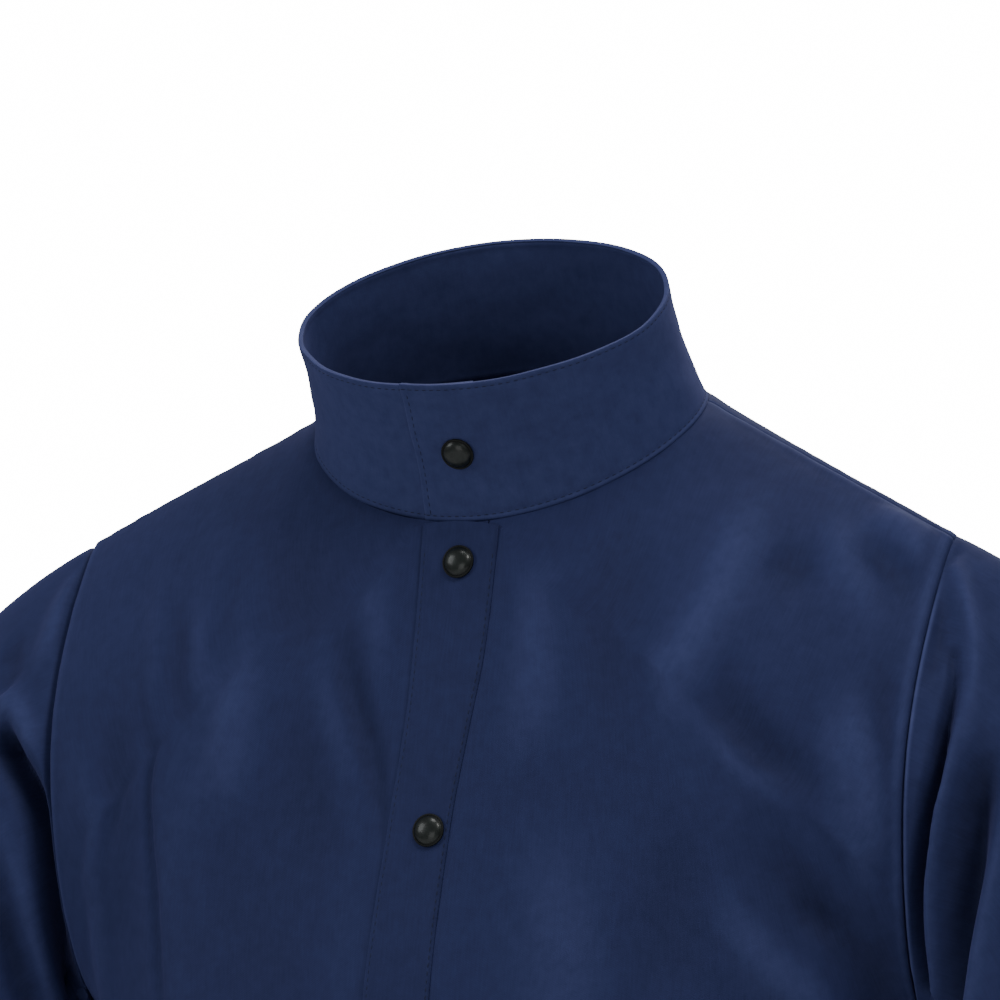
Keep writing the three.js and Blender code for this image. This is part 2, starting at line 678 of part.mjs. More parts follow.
// Where each snap of the placket sits on its rows of cloth, evenly from the first to the last, and
// which way it faces.
function placketPlaces() {
  const heights = placketHeights().reverse();
  const line = heights.map((height) => frontPoint(height, placketLine("snap", height)));
  let length = 0;
  for (let i = 1; i < line.length; i++) length += line[i].distanceTo(line[i - 1]);
  const pitch = (length - FIRST_SNAP - LAST_SNAP) / (SNAP_COUNT - 1);
  const places = [];
  for (let i = 0; i < SNAP_COUNT; i++) places.push(linePlace(line, FIRST_SNAP + i * pitch));
  return places;
}

// The place a length down a line of points near the middle, and which way it faces.
function linePlace(line, length) {
  let i = 0;
  let left = length;
  while (left > line[i].distanceTo(line[i + 1])) {
    left -= line[i].distanceTo(line[i + 1]);
    i++;
  }
  const along = line[i].clone().sub(line[i + 1]).normalize();
  const facing = vec(0, -along.z, along.y).normalize();
  return { point: line[i].clone().addScaledVector(along, -left), facing };
}

function collarPlace() {
  const angle = THREE.MathUtils.radToDeg(Math.asin((2 * COLLAR_SNAP_SIDE) / NECK_WIDTH)) - 90;
  const along = collarRim(angle).sub(neckSeam(angle)).normalize();
  const out = vec(Math.sin(radians(angle + 90)), -Math.cos(radians(angle + 90)), 0);
  const facing = out.addScaledVector(along, -out.dot(along)).normalize();
  return { point: collarPoint(angle, 0.5, 0), facing };
}

// A turned shape about +Y, placed so that +Y faces out of the cloth.
function turnedMesh(name, profile, place, material) {
  const geometry = new THREE.LatheGeometry(
    profile.map(([r, y]) => new THREE.Vector2(r, y)),
    SNAP_SIDES,
  );
  const mesh = new THREE.Mesh(geometry, material);
  mesh.name = name;
  mesh.position.copy(place.point);
  mesh.quaternion.setFromUnitVectors(vec(0, 1, 0), place.facing);
  return mesh;
}

// A domed cap with its post, seated a gap above the outer cloth and reaching through the layers.
function capProfile(seat, reach) {
  const r = SNAP_DIAMETER / 2;
  const post = POST_DIAMETER / 2;
  return [
    [0, -reach],
    [post, -reach],
    [post, seat],
    [r - 0.5, seat],
    [r, seat + SNAP_RIM / 2],
    [r - 0.4, seat + SNAP_RIM],
    [0.72 * r, seat + 0.72 * SNAP_HEIGHT],
    [0.38 * r, seat + 0.94 * SNAP_HEIGHT],
    [0, seat + SNAP_HEIGHT],
  ];
}

// The stud's flange inside the under layer, with a bore for the end of the post.
function studProfile(face) {
  const r = STUD_DIAMETER / 2;
  const bore = POST_DIAMETER / 2 + POST_CLEARANCE;
  return [
    [bore, -face - STUD_HEIGHT],
    [r - 0.4, -face - STUD_HEIGHT],
    [r, -face - STUD_HEIGHT / 2],
    [r - 0.4, -face],
    [bore, -face],
    [bore, -face - STUD_HEIGHT],
  ];
}

const jacket = new THREE.Group();
const clothMaterial = new THREE.MeshStandardMaterial({
  color: CLOTH_COLOUR,
  roughness: CLOTH_ROUGHNESS,
  metalness: 0,
});
const snapMaterial = new THREE.MeshStandardMaterial({
  color: SNAP_COLOUR,
  roughness: SNAP_ROUGHNESS,
  metalness: SNAP_METALNESS,
});

// The under front runs past the middle, and the left front starts under the placket's sewn edge.
const leftEdge = (height) => placketLine("sewn", height) - PLACKET_SEWN;
const cloths = {
  front_left: frontCloth(leftEdge, "front_left"),
  front_right: mirrored(frontCloth((height) => 2 * GAP - leftEdge(height), "front_right")),
  back: backCloth(),
  sleeve_left: sleeveCloth("sleeve_left"),
  sleeve_right: mirrored(sleeveCloth("sleeve_right")),
  collar: collarCloth(),
};
mitreSeams(Object.values(cloths));
const hemmed = (p) => (p.z < -BACK_LENGTH + HEM_WIDTH + GAP ? 2 * CLOTH : CLOTH);
const walls = {
  front_left: wallOf(cloths.front_left, hemmed),
  front_right: wallOf(cloths.front_right, hemmed),
  back: wallOf(cloths.back, hemmed),
  sleeve_left: wallOf(cloths.sleeve_left, CLOTH),
  sleeve_right: wallOf(cloths.sleeve_right, CLOTH),
  collar: wallOf(cloths.collar, COLLAR_CLOTH),
  placket: wallOf(placketCloth(), PLACKET_CLOTH, GAP + PLACKET_CLOTH),
};

// Snaps, and the holes that their posts pass through.
const snaps = [{ place: collarPlace(), seat: GAP, under: 2 * COLLAR_CLOTH + GAP, layers: ["collar"] }];
for (const place of placketPlaces())
  snaps.push({
    place,
    seat: 2 * GAP + PLACKET_CLOTH,
    under: CLOTH,
    layers: ["placket", "front_right"],
  });
const pierced = {};
for (const [name, geometry] of Object.entries(walls)) {
  let solid = solidOf(geometry);
  for (const { place, seat, under, layers } of snaps) {
    if (!layers.includes(name)) continue;
    const length = 2 * (seat + under + SNAP_HEIGHT);
    const hole = new THREE.CylinderGeometry(
      POST_DIAMETER / 2 + POST_CLEARANCE,
      POST_DIAMETER / 2 + POST_CLEARANCE,
      length,
      10,
    );
    hole.applyQuaternion(new THREE.Quaternion().setFromUnitVectors(vec(0, 1, 0), place.facing));
    hole.translate(place.point.x, place.point.y, place.point.z);
    solid = solid.subtract(solidOf(hole));
  }
  pierced[name] = geometryOf(solid);
}

for (const [name, geometry] of Object.entries(pierced)) {
  const mesh = new THREE.Mesh(geometry, clothMaterial);
  mesh.name = name;
  jacket.add(mesh);
}
snaps.forEach(({ place, seat, under }, i) => {
  const face = under + STUD_CLEARANCE;
  jacket.add(
    turnedMesh(`snap_cap_${i + 1}`, capProfile(seat, face + STUD_HEIGHT / 2), place, snapMaterial),
    turnedMesh(`snap_stud_${i + 1}`, studProfile(face), place, snapMaterial),
  );
});

export default jacket;
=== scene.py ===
"""A welder's jacket in navy cotton, in its worn form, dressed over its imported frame.

Sizes are in millimetres until a mesh is made, with the nape at the origin, the front on -Y and the
wearer's left on +X. Every panel follows the same named sizes as its solid in the frame, at a finer
grid, with its folds, seams, hems and stitches on top.
"""

import json
import logging
import math
import sys
from dataclasses import dataclass, field
from enum import Enum
from typing import Callable, Optional, Sequence

import bpy
import numpy as np
from mathutils import Matrix, Vector

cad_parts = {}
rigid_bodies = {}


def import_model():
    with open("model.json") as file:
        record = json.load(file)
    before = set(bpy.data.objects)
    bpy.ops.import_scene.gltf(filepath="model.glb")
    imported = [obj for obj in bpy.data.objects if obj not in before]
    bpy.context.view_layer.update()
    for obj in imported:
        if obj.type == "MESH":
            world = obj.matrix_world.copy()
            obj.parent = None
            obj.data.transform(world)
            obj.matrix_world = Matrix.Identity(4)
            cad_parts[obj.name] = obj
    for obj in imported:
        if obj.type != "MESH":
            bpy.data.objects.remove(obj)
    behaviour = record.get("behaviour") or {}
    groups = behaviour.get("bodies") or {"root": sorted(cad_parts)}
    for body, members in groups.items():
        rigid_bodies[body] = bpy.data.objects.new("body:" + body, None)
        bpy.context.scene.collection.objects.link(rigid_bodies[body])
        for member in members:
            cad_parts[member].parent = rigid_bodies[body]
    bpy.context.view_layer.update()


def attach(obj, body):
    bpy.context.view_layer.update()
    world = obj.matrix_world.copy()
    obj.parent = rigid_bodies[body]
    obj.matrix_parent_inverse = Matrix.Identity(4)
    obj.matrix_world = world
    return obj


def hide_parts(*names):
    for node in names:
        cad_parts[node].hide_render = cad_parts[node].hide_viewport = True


log = logging.getLogger("jacket")
Array = np.ndarray
MM = 0.001
LINE_SAMPLES = 500
FOLD_SAMPLES = 90
FOLD_FADE = 0.4
# The strongest painted shade and painted highlight of folds, and the push in mm over which they grow.
MOST_PAINTED_FOLD_LIGHT = 0.8
PAINTED_FOLD_LIGHT_DEPTH = 8
BODY_AXIS = -70.0
SEAM_STEPS = (0.0, 0.35, 0.75, 1.2, 1.8, 2.6, 3.7, 5.2, 7.0, 9.2, 12.0)
EDGE_STEPS = (0.0, 0.6, 1.4, 2.6, 4.4, 7.0, 10.0)


class Side(Enum):
    """The front or the back of the body, by the sign of Y."""

    FRONT = -1
    BACK = 1


def smoothstep(x: Array, low: float, high: float) -> Array:
    """A smooth rise from 0 at low to 1 at high."""
    t = np.clip((np.asarray(x, float) - low) / (high - low), 0, 1)
    return t * t * (3 - 2 * t)


def bump(x: Array, wide: float) -> Array:
    """A rounded bump, 1 where x is 0 and almost nothing past twice its width."""
    return np.exp(-((np.asarray(x, float) / wide) ** 2))


def unit(v: Array) -> Array:
    """Vectors along the last axis, scaled to length 1."""
    return v / np.maximum(np.linalg.norm(v, axis=-1, keepdims=True), 1e-12)


def vec(x: Array, y: Array, z: Array) -> Array:
    """Three coordinates stacked into vectors."""
    return np.stack(np.broadcast_arrays(np.asarray(x, float), y, z), axis=-1)


def run_of(points: Array, axis: int) -> Array:
    """The length from the first point to each along a line, or along a grid's rows or columns."""
    step = np.linalg.norm(np.diff(points, axis=axis), axis=-1)
    return np.insert(np.cumsum(step, axis=axis), 0, 0.0, axis=axis)


def waves(x: Array, y: Array, length: float, seed: int) -> Array:
    """A smooth unevenness over a flat place, about -1 to 1, made of a few crossing waves.

    Args:
        x: First flat coordinate.
        y: Second flat coordinate.
        length: The middle wavelength, in the coordinates' units.
        seed: Which unevenness.

    Returns:
        The height at each place.
    """
    made = np.random.default_rng(seed)
    total = np.zeros(np.broadcast(x, y).shape)
    count = 9
    for _ in range(count):
        way, phase = made.uniform(0, 2 * math.pi, 2)
        number = 2 * math.pi / (length * made.uniform(0.6, 1.7))
        total = total + np.sin(number * (x * math.cos(way) + y * math.sin(way)) + phase)
    return total / math.sqrt(2 * count)


class Table:
    """A short table of named columns, read as smooth curves of its first column."""

    def __init__(self, columns: str, *rows: tuple[float, ...]) -> None:
        """Keeps the rows.

        Args:
            columns: The columns' names, the first being what the table is read by.
            rows: A row of numbers for each section.
        """
        values = np.array(rows, float)
        self.knots = values[:, 0]
        self.columns = {name: values[:, i] for i, name in enumerate(columns.split())}

    def read(self, column: str, at: Array) -> Array:
        """The value of one column.

        Args:
            column: The column's name.
            at: Where to read it, in the first column's terms.

        Returns:
            The smooth curve's value at each place.
        """
        knots, values = self.knots, self.columns[column]
        last = len(knots) - 1
        before = np.maximum(np.arange(last + 1) - 1, 0)
        after = np.minimum(np.arange(last + 1) + 1, last)
        slope = (values[after] - values[before]) / (knots[after] - knots[before])
        at = np.asarray(at, float)
        i = np.clip(np.searchsorted(knots, at, side="left") - 1, 0, last - 1)
        step = knots[i + 1] - knots[i]
        u = np.clip((at - knots[i]) / step, 0, 1)
        return (
            values[i] * (1 + 2 * u) * (1 - u) ** 2
            + values[i + 1] * u * u * (3 - 2 * u)
            + slope[i] * step * u * (1 - u) ** 2
            - slope[i + 1] * step * u * u * (1 - u)
        )


@dataclass(frozen=True)
class Ripple:
    """A smooth unevenness of the cloth, its places stretched along and across."""

    height: float
    length: float
    along: float = 1.0
    across: float = 1.0

    def push(self, x: Array, y: Array, seed: int) -> Array:
        """The push inwards in mm at flat places."""
        return self.height * waves(x * self.along, y * self.across, self.length, seed)


@dataclass(frozen=True)
class Mark:
    """A line drawn into the cloth, or raised where deep is negative, at a distance from an edge."""

    deep: float
    at: float
    wide: float

    def push(self, distance: Array) -> Array:
        """The push inwards in mm at distances from the edge."""
        return self.deep * bump(distance - self.at, self.wide)


@dataclass(frozen=True)
class Cut:
    """A sheet laid flat: its sides in metres and the area of its cloth in square metres."""

    width: float
    length: float
    area: float


@dataclass(frozen=True)
class Fold:
    """A valley in the cloth, or a ridge where deep is negative, along a line of places in mm.

    Its two widths are those on the left and the right of the line, seen along it.
    """

    line: tuple[tuple[float, float], ...]
    deep: float
    left: float
    right: float
    ends: tuple[float, float] = (0.0, 0.0)

    def course(self) -> tuple[Array, Array]:
        """Close places along the line, smoothed, and how deep the fold is there from 0 to 1."""
        knots = np.array(self.line, float)
        run = run_of(knots, 0)
        curve = Table("run x y", *np.column_stack([run, knots]).tolist())
        at = np.linspace(0, run[-1], FOLD_SAMPLES)
        t = at / run[-1]
        first, last = self.ends
        full = smoothstep(t, 0, FOLD_FADE) * smoothstep(1 - t, 0, FOLD_FADE)
        floor = np.where(t < 0.5, first, last)
        return np.stack([curve.read("x", at), curve.read("y", at)], axis=-1), floor + (1 - floor) * full

    def push(self, x: Array, y: Array) -> Array:
        """How far the fold pushes the cloth in.

        Args:
            x: First flat coordinate.
            y: Second flat coordinate.

        Returns:
            The push inwards in mm.
        """
        places, full = self.course()
        ways = unit(np.gradient(places, axis=0))
        nearest = np.full(x.shape, 1e9)
        strength, wide = np.zeros(x.shape), np.ones(x.shape)
        for (px, py), (wx, wy), share in zip(places, ways, full):
            distance = (x - px) ** 2 + (y - py) ** 2
            closer = distance < nearest
            nearest = np.where(closer, distance, nearest)
            left = wx * (y - py) - wy * (x - px) > 0
            strength = np.where(closer, share, strength)
            wide = np.where(closer, np.where(left, self.left, self.right), wide)
        return self.deep * strength * np.exp(-nearest / wide**2)


@dataclass
class JacketShape:
    """The jacket's sizes in mm and the surface that its panels follow."""

    back_length: float = 762
    chest_width: float = 412
    front_reach: float = 199
    back_reach: float = 52
    neck_width: float = 190
    neck_depth: float = 126
    neck_side_drop: float = 20
    neck_front_drop: float = 66
    collar_height: float = 68
    collar_rim_width: float = 178
    collar_hollow: float = 2.5
    collar_back_lean: float = 24
    collar_front_lean: float = 25
    collar_underlap: float = 22
    shoulder_width: float = 432
    shoulder_drop: float = 77
    shoulder_set: float = 62
    armhole_height: float = 222
    armhole_breadth: float = 122
    armhole_forward: float = 8
    seam_forward: float = 6
    seam_back: float = 12
    inner_seam: float = 412
    upper_arm_breadth: float = 150
    upper_arm_depth: float = 120
    cuff_breadth: float = 104
    cuff_depth: float = 76
    arm_angle: float = 12
    elbow_reach: float = 52
    bend_from: float = 0.25
    bend_power: float = 1.6
    crown_narrow: float = 0.5
    placket_width: float = 32
    front_neck_share: float = 0.4
    back_neck_share: float = 0.7
    front_line: Table = Table(
        "down out",
        (0, 0), (0.03, 0.075), (0.1, 0.28), (0.2, 0.58),
        (0.3, 0.85), (0.45, 1), (0.7, 0.96), (1, 0.89),
    )
    back_line: Table = Table(
        "down out",
        (0, 0), (0.054, 0.36), (0.132, 0.7), (0.24, 0.9),
        (0.38, 0.93), (0.58, 0.84), (0.8, 0.9), (1, 1),
    )
    side_line: Table = Table(
        "down out", (0, 0), (0.1, -0.03), (0.35, -0.035), (0.7, -0.005), (1, 0.045)
    )
    placket_line: Table = Table(
        "down free sewn snap",
        (0, -0.5, 0.67, 0.11),
        (0.08, -0.47, 0.62, 0.11),
        (0.13, -0.485, 0.5, 0.1),
        (0.19, -0.58, 0.37, 0.08),
        (0.31, -0.735, 0.27, -0.06),
        (0.45, -0.75, 0.25, -0.2),
        (1, -0.75, 0.25, -0.2),
    )
    row_run: Table = Table(
        "height lead hold x y z",
        (-1, 0.5, 0.31, 0, 1, 0),
        (-0.4, 0.5, 0.31, 0, 1, 0),
        (0, 0.47, 0.31, 0.12, 1, -0.05),
        (0.3, 0.39, 0.3, 0.55, 0.75, -0.33),
        (0.6, 0.34, 0.3, 0.82, 0.4, -0.46),
        (1, 0.34, 0.33, 0.87, 0, -0.49),
    )
    neck_slope: Table = Table("along front back", (0, 4, 18), (0.5, 22, 30), (1, 29, 29))
    sleeve_rings: Table = Table(
        "at along turned armhole upper cuff",
        (0, 0, 0, 1, 0, 0),
        (0.09, 0.015, 0.24, 0.8, 0.17, 0),
        (0.17, 0.03, 0.42, 0.56, 0.41, 0),
        (0.25, 0.055, 0.6, 0.28, 0.72, 0),
        (0.34, 0.1, 0.82, 0.06, 0.94, 0),
        (0.44, 0.2, 0.97, 0, 1, 0),
        (0.66, 0.52, 1, 0, 0.7, 0.3),
        (0.85, 0.8, 1, 0, 0.22, 0.8),
        (1, 1, 1, 0, 0, 1),
    )

    @property
    def underarm_drop(self) -> float:
        """Nape to underarm, straight down."""
        return self.shoulder_drop + self.armhole_height

    @property
    def skirt(self) -> float:
        """Underarm to hem, straight down."""
        return self.back_length - self.underarm_drop

    @property
    def arm_girth(self) -> float:
        """Round the upper sleeve."""
        return math.pi * (self.upper_arm_breadth + self.upper_arm_depth) / 2

    def neck_seam(self, degrees: Array) -> Array:
        """Points of the neck seam; 0 is the wearer's left, -90 the front, 90 the nape."""
        a = np.radians(degrees)
        fall = self.neck_front_drop / 2
        flat = np.where(np.sin(a) < 0, np.cos(a) ** 2, np.cos(a) ** 4)
        return vec(
            self.neck_width / 2 * np.cos(a),
            self.neck_depth / 2 * (np.sin(a) - 1),
            fall * (np.sin(a) - 1) + (fall - self.neck_side_drop) * flat,
        )

    def collar_rim(self, degrees: Array) -> Array:
        """Points of the collar's top edge over the neck seam."""
        a = np.radians(degrees)
        back, front = math.radians(self.collar_back_lean), math.radians(self.collar_front_lean)
        rise = self.collar_height
        rear = self.neck_seam(90) + rise * np.array([0, -math.sin(back), math.cos(back)])
        fore = self.neck_seam(-90) + rise * np.array([0, -math.sin(front), math.cos(front)])
        aside = vec(self.collar_rim_width / 2 * np.cos(a), 0, 0)
        return (rear + fore) / 2 + (rear - fore) / 2 * np.sin(a)[..., None] + aside

    def collar_point(self, degrees: Array, up: Array, inwards: Array) -> Array:
        """Points of the collar band.

        Args:
            degrees: Round the neck.
            up: 0 at the neck seam and 1 at the top edge.
            inwards: How far to move towards the neck.

        Returns:
            Points in mm.
        """
        a = np.radians(degrees)
        up = np.asarray(up, float)
        inwards = inwards + 4 * self.collar_hollow * up * (1 - up)
        up = up[..., None]
        band = self.neck_seam(degrees) * (1 - up) + self.collar_rim(degrees) * up
        return band + vec(-np.cos(a), -np.sin(a), 0) * inwards[..., None]

    def sleeve_point(self, at: Array, degrees: Array) -> Array:
        """Points of the left sleeve.

        Args:
            at: The share of the way from armhole to cuff.
            degrees: Round the sleeve: 0 the top and outside, 90 the front, 180 the underarm.

        Returns:
            Points in mm.
        """
        at, degrees = np.broadcast_arrays(np.asarray(at, float), np.asarray(degrees, float))
        a = np.radians(degrees)
        along, turned, armhole, upper, cuff = (
            self.sleeve_rings.read(name, at)
            for name in ("along", "turned", "armhole", "upper", "cuff")
        )
        depth = armhole * self.armhole_height + upper * self.upper_arm_depth + cuff * self.cuff_depth
        breadth = (
            armhole * self.armhole_breadth
            + upper * self.upper_arm_breadth
            + cuff * self.cuff_breadth
        )
        arm = math.radians(self.arm_angle)
        upright = math.atan2((self.shoulder_width - self.chest_width) / 2, self.armhole_height)
        tilt = upright + (math.pi / 2 - arm - upright) * turned
        bend = np.maximum(0, along - self.bend_from) / (1 - self.bend_from)
        lean = (1 - turned) * self.armhole_forward * 0.5 * (1 + np.cos(a))
        middle = vec(
            self.chest_width / 2 + self.inner_seam * along * math.sin(arm),
            -self.shoulder_set - self.elbow_reach * bend**self.bend_power - self.armhole_forward + lean,
            -self.underarm_drop - self.inner_seam * along * math.cos(arm),
        )
        outward = vec(np.sin(tilt), 0, np.cos(tilt))
        narrow = 1 - self.crown_narrow * armhole * np.maximum(0, np.cos(a)) ** 2
        spoke = outward * (depth / 2 * (1 + np.cos(a)))[..., None]
        return middle + spoke + vec(0, -breadth / 2 * np.sin(a) * narrow, 0)

    def row_start(self, side: Side, height: Array) -> tuple[Array, Array]:
        """Where rows of a panel start, and which way the cloth runs there.

        Args:
            side: Front or back.
            height: -1 at the hem, 0 at the underarm and 1 at the shoulder seam.

        Returns:
            The points and the directions.
        """
        height = np.asarray(height, float)
        front = side is Side.FRONT
        share = self.front_neck_share if front else self.back_neck_share
        top = -self.neck_front_drop if front else 0.0
        z = np.where(
            height < 0,
            -self.underarm_drop + height * self.skirt,
            -self.underarm_drop + (top + self.underarm_drop) * height / share,
        )
        down = (top - z) / (top + self.back_length)
        if front:
            out = -self.neck_depth - (
                self.front_reach - self.neck_depth
            ) * self.front_line.read("out", down)
            slope = np.zeros_like(height)
        else:
            out = self.back_reach * self.back_line.read("out", down)
            slope = self.neck_slope.columns["back"][0] * np.maximum(0, height / share)
        u = np.clip((height - share) / (1 - share), 0, 1)
        high = self.neck_seam(side.value * 90 + (self.seam_back - side.value * 90) * u)
        steep = self.neck_slope.read("front" if front else "back", u)
        above = height > share
        angle = np.radians(np.where(above, steep, slope))
        start = np.where(above[..., None], high, vec(0, out, z))
        return start, vec(np.cos(angle), 0, -np.sin(angle))

    def row_end(self, side: Side, height: Array) -> Array:
        """Where rows of a panel end, on the side seam or the armhole."""
        height = np.asarray(height, float)
        turn = side.value * 180 + self.seam_forward
        end = self.sleeve_point(0.0, 180 + np.maximum(height, 0) * turn)
        flare = self.chest_width / 2 * self.side_line.read("out", np.maximum(-height, 0))
        fall = -self.underarm_drop + height * self.skirt
        end[..., 0] += np.where(height > 0, 0, flare)
        end[..., 2] = np.where(height > 0, end[..., 2], fall)
        return end

    def body_point(self, side: Side, height: Array, across: Array) -> Array:
        """Points of the left half of the body.

        Args:
            side: Front or back.
            height: -1 at the hem, 0 at the underarm and 1 at the shoulder seam.
            across: 0 at the middle and 1 at the side seam or armhole; negative past the middle.

        Returns:
            Points in mm.
        """
        height, across = np.broadcast_arrays(np.asarray(height, float), np.asarray(across, float))
        start, run = self.row_start(side, height)
        end = self.row_end(side, height)
        read = self.row_run.read
        last = unit(vec(read("x", height), -side.value * read("y", height), read("z", height)))
        width = np.linalg.norm(end - start, axis=-1, keepdims=True)
        lead = start + run * width * read("lead", height)[..., None]
        hold = end - last * width * read("hold", height)[..., None]
        s = np.abs(across)[..., None]
        r = 1 - s
        point = start * r**3 + lead * 3 * r * r * s + hold * 3 * r * s * s + end * s**3
        point[..., 0] = np.where(across < 0, -point[..., 0], point[..., 0])
        return point

    def placket_x(self, column: str, height: Array) -> Array:
        """How far a column of the placket's table is to the wearer's left at rows of the front."""
        z = self.row_start(Side.FRONT, np.minimum(height, self.front_neck_share))[0][..., 2]
        down = (-self.neck_front_drop - z) / (self.back_length - self.neck_front_drop)
        return self.placket_width * self.placket_line.read(column, down)


def painted_fold_light(push: Array) -> Array:
    """Painted shade in fold valleys, below 0, and painted highlight on fold ridges, above it, by the push in
    mm.
    """
    return -MOST_PAINTED_FOLD_LIGHT * np.tanh(push / PAINTED_FOLD_LIGHT_DEPTH)


@dataclass
class Cloth:
    """Rows of points of a piece of cloth, with its normals and flat places."""

    points: Array
    normals: Array
    flat: Array
    # Per point: real wear of seams, hems and edges, together with painted shade and painted highlight of
    # folds, the collar and the placket's sewn edge, and a slight darkening of the whole placket; below 0
    # darker, above 0 lighter.
    wear: Array

    def push(self, depth: Array) -> None:
        """Moves the cloth inwards by a depth in mm at each point."""
        self.points = self.points - self.normals * depth[..., None]

    def line(self, rows: slice | int, columns: slice | int) -> tuple[Array, Array]:
        """The points and normals along one row or column."""
        return self.points[rows, columns], self.normals[rows, columns]

    def part(self, rows: int, columns: int) -> "Cloth":
        """Its first rows and columns."""
        grids = (self.points, self.normals, self.flat, self.wear)
        return Cloth(*(grid[:rows, :columns].copy() for grid in grids))

    def mirrored(self) -> "Cloth":
        """The same piece for the wearer's other side."""
        flip = np.array([-1.0, 1, 1])
        return Cloth(self.points * flip, self.normals * flip, self.flat.copy(), self.wear.copy())


def sample(
    lines: Callable[[Array], Array],
    first: Array,
    near_start: Sequence[float],
    near_end: Sequence[float],
    count: int,
) -> tuple[Array, Array]:
    """Samples lines by their length, closely near their ends.

    Args:
        lines: Gives the points of every line for shares of the way, an array of (lines, samples).
        first: The share at which each line starts; they all end at 1.
        near_start: Distances from the start in mm at which points lie, of all lines or of each.
        near_end: The same from the end, rising.
        count: How many points fill the rest evenly.

    Returns:
        The shares and the distances along each line, both (lines, points).
    """
    fine = first[:, None] + (1 - first[:, None]) * np.linspace(0, 1, LINE_SAMPLES)
    length = run_of(lines(fine), 1)
    shares, places = [], []
    near_start = np.broadcast_to(near_start, (len(first), np.shape(near_start)[-1]))
    for share, run, near in zip(fine, length, near_start):
        middle = np.linspace(near[-1], run[-1] - near_end[-1], count + 2)[1:-1]
        place = np.concatenate([near, middle, run[-1] - np.array(near_end)[::-1]])
        shares.append(np.interp(place, run, share))
        places.append(place)
    return np.array(shares), np.array(places)


def normals_of(points: Array, out: Array) -> Array:
    """Normals of rows of points.

    Args:
        points: The grid, (rows, columns, 3).
        out: A point or points that the normals face away from.

    Returns:
        Unit normals, (rows, columns, 3).
    """
    down = np.gradient(points, axis=0)
    along = np.gradient(points, axis=1)
    normals = np.cross(along, down)
    for i, j in ((0, 1), (-1, -2)):
        flat = np.linalg.norm(normals[i], axis=-1) < 1e-9
        normals[i][flat] = normals[j][flat]
    normals = unit(normals)
    facing = np.sum(normals * (points - out), axis=-1)
    return normals * (1 if np.mean(facing) > 0 else -1)


def upright(points: Array, y: float) -> Array:
    """For each point, the one at its height on an upright line through the jacket's middle."""
    return np.array([0, y, 0]) + points * np.array([0, 0, 1.0])


def eased(points: Array, loose: Array, rounds: int) -> Array:
    """Evens out rows of points along their columns.

    Args:
        points: The grid, (rows, columns, 3).
        loose: How freely each point may move, 0 to 1.
        rounds: How many times each point moves half way to its neighbours' middle.

    Returns:
        The eased grid.
    """
    points = points.copy()
    for _ in range(rounds):
        points[1:-1] += 0.25 * loose[1:-1, :, None] * (points[2:] - 2 * points[1:-1] + points[:-2])
    return points


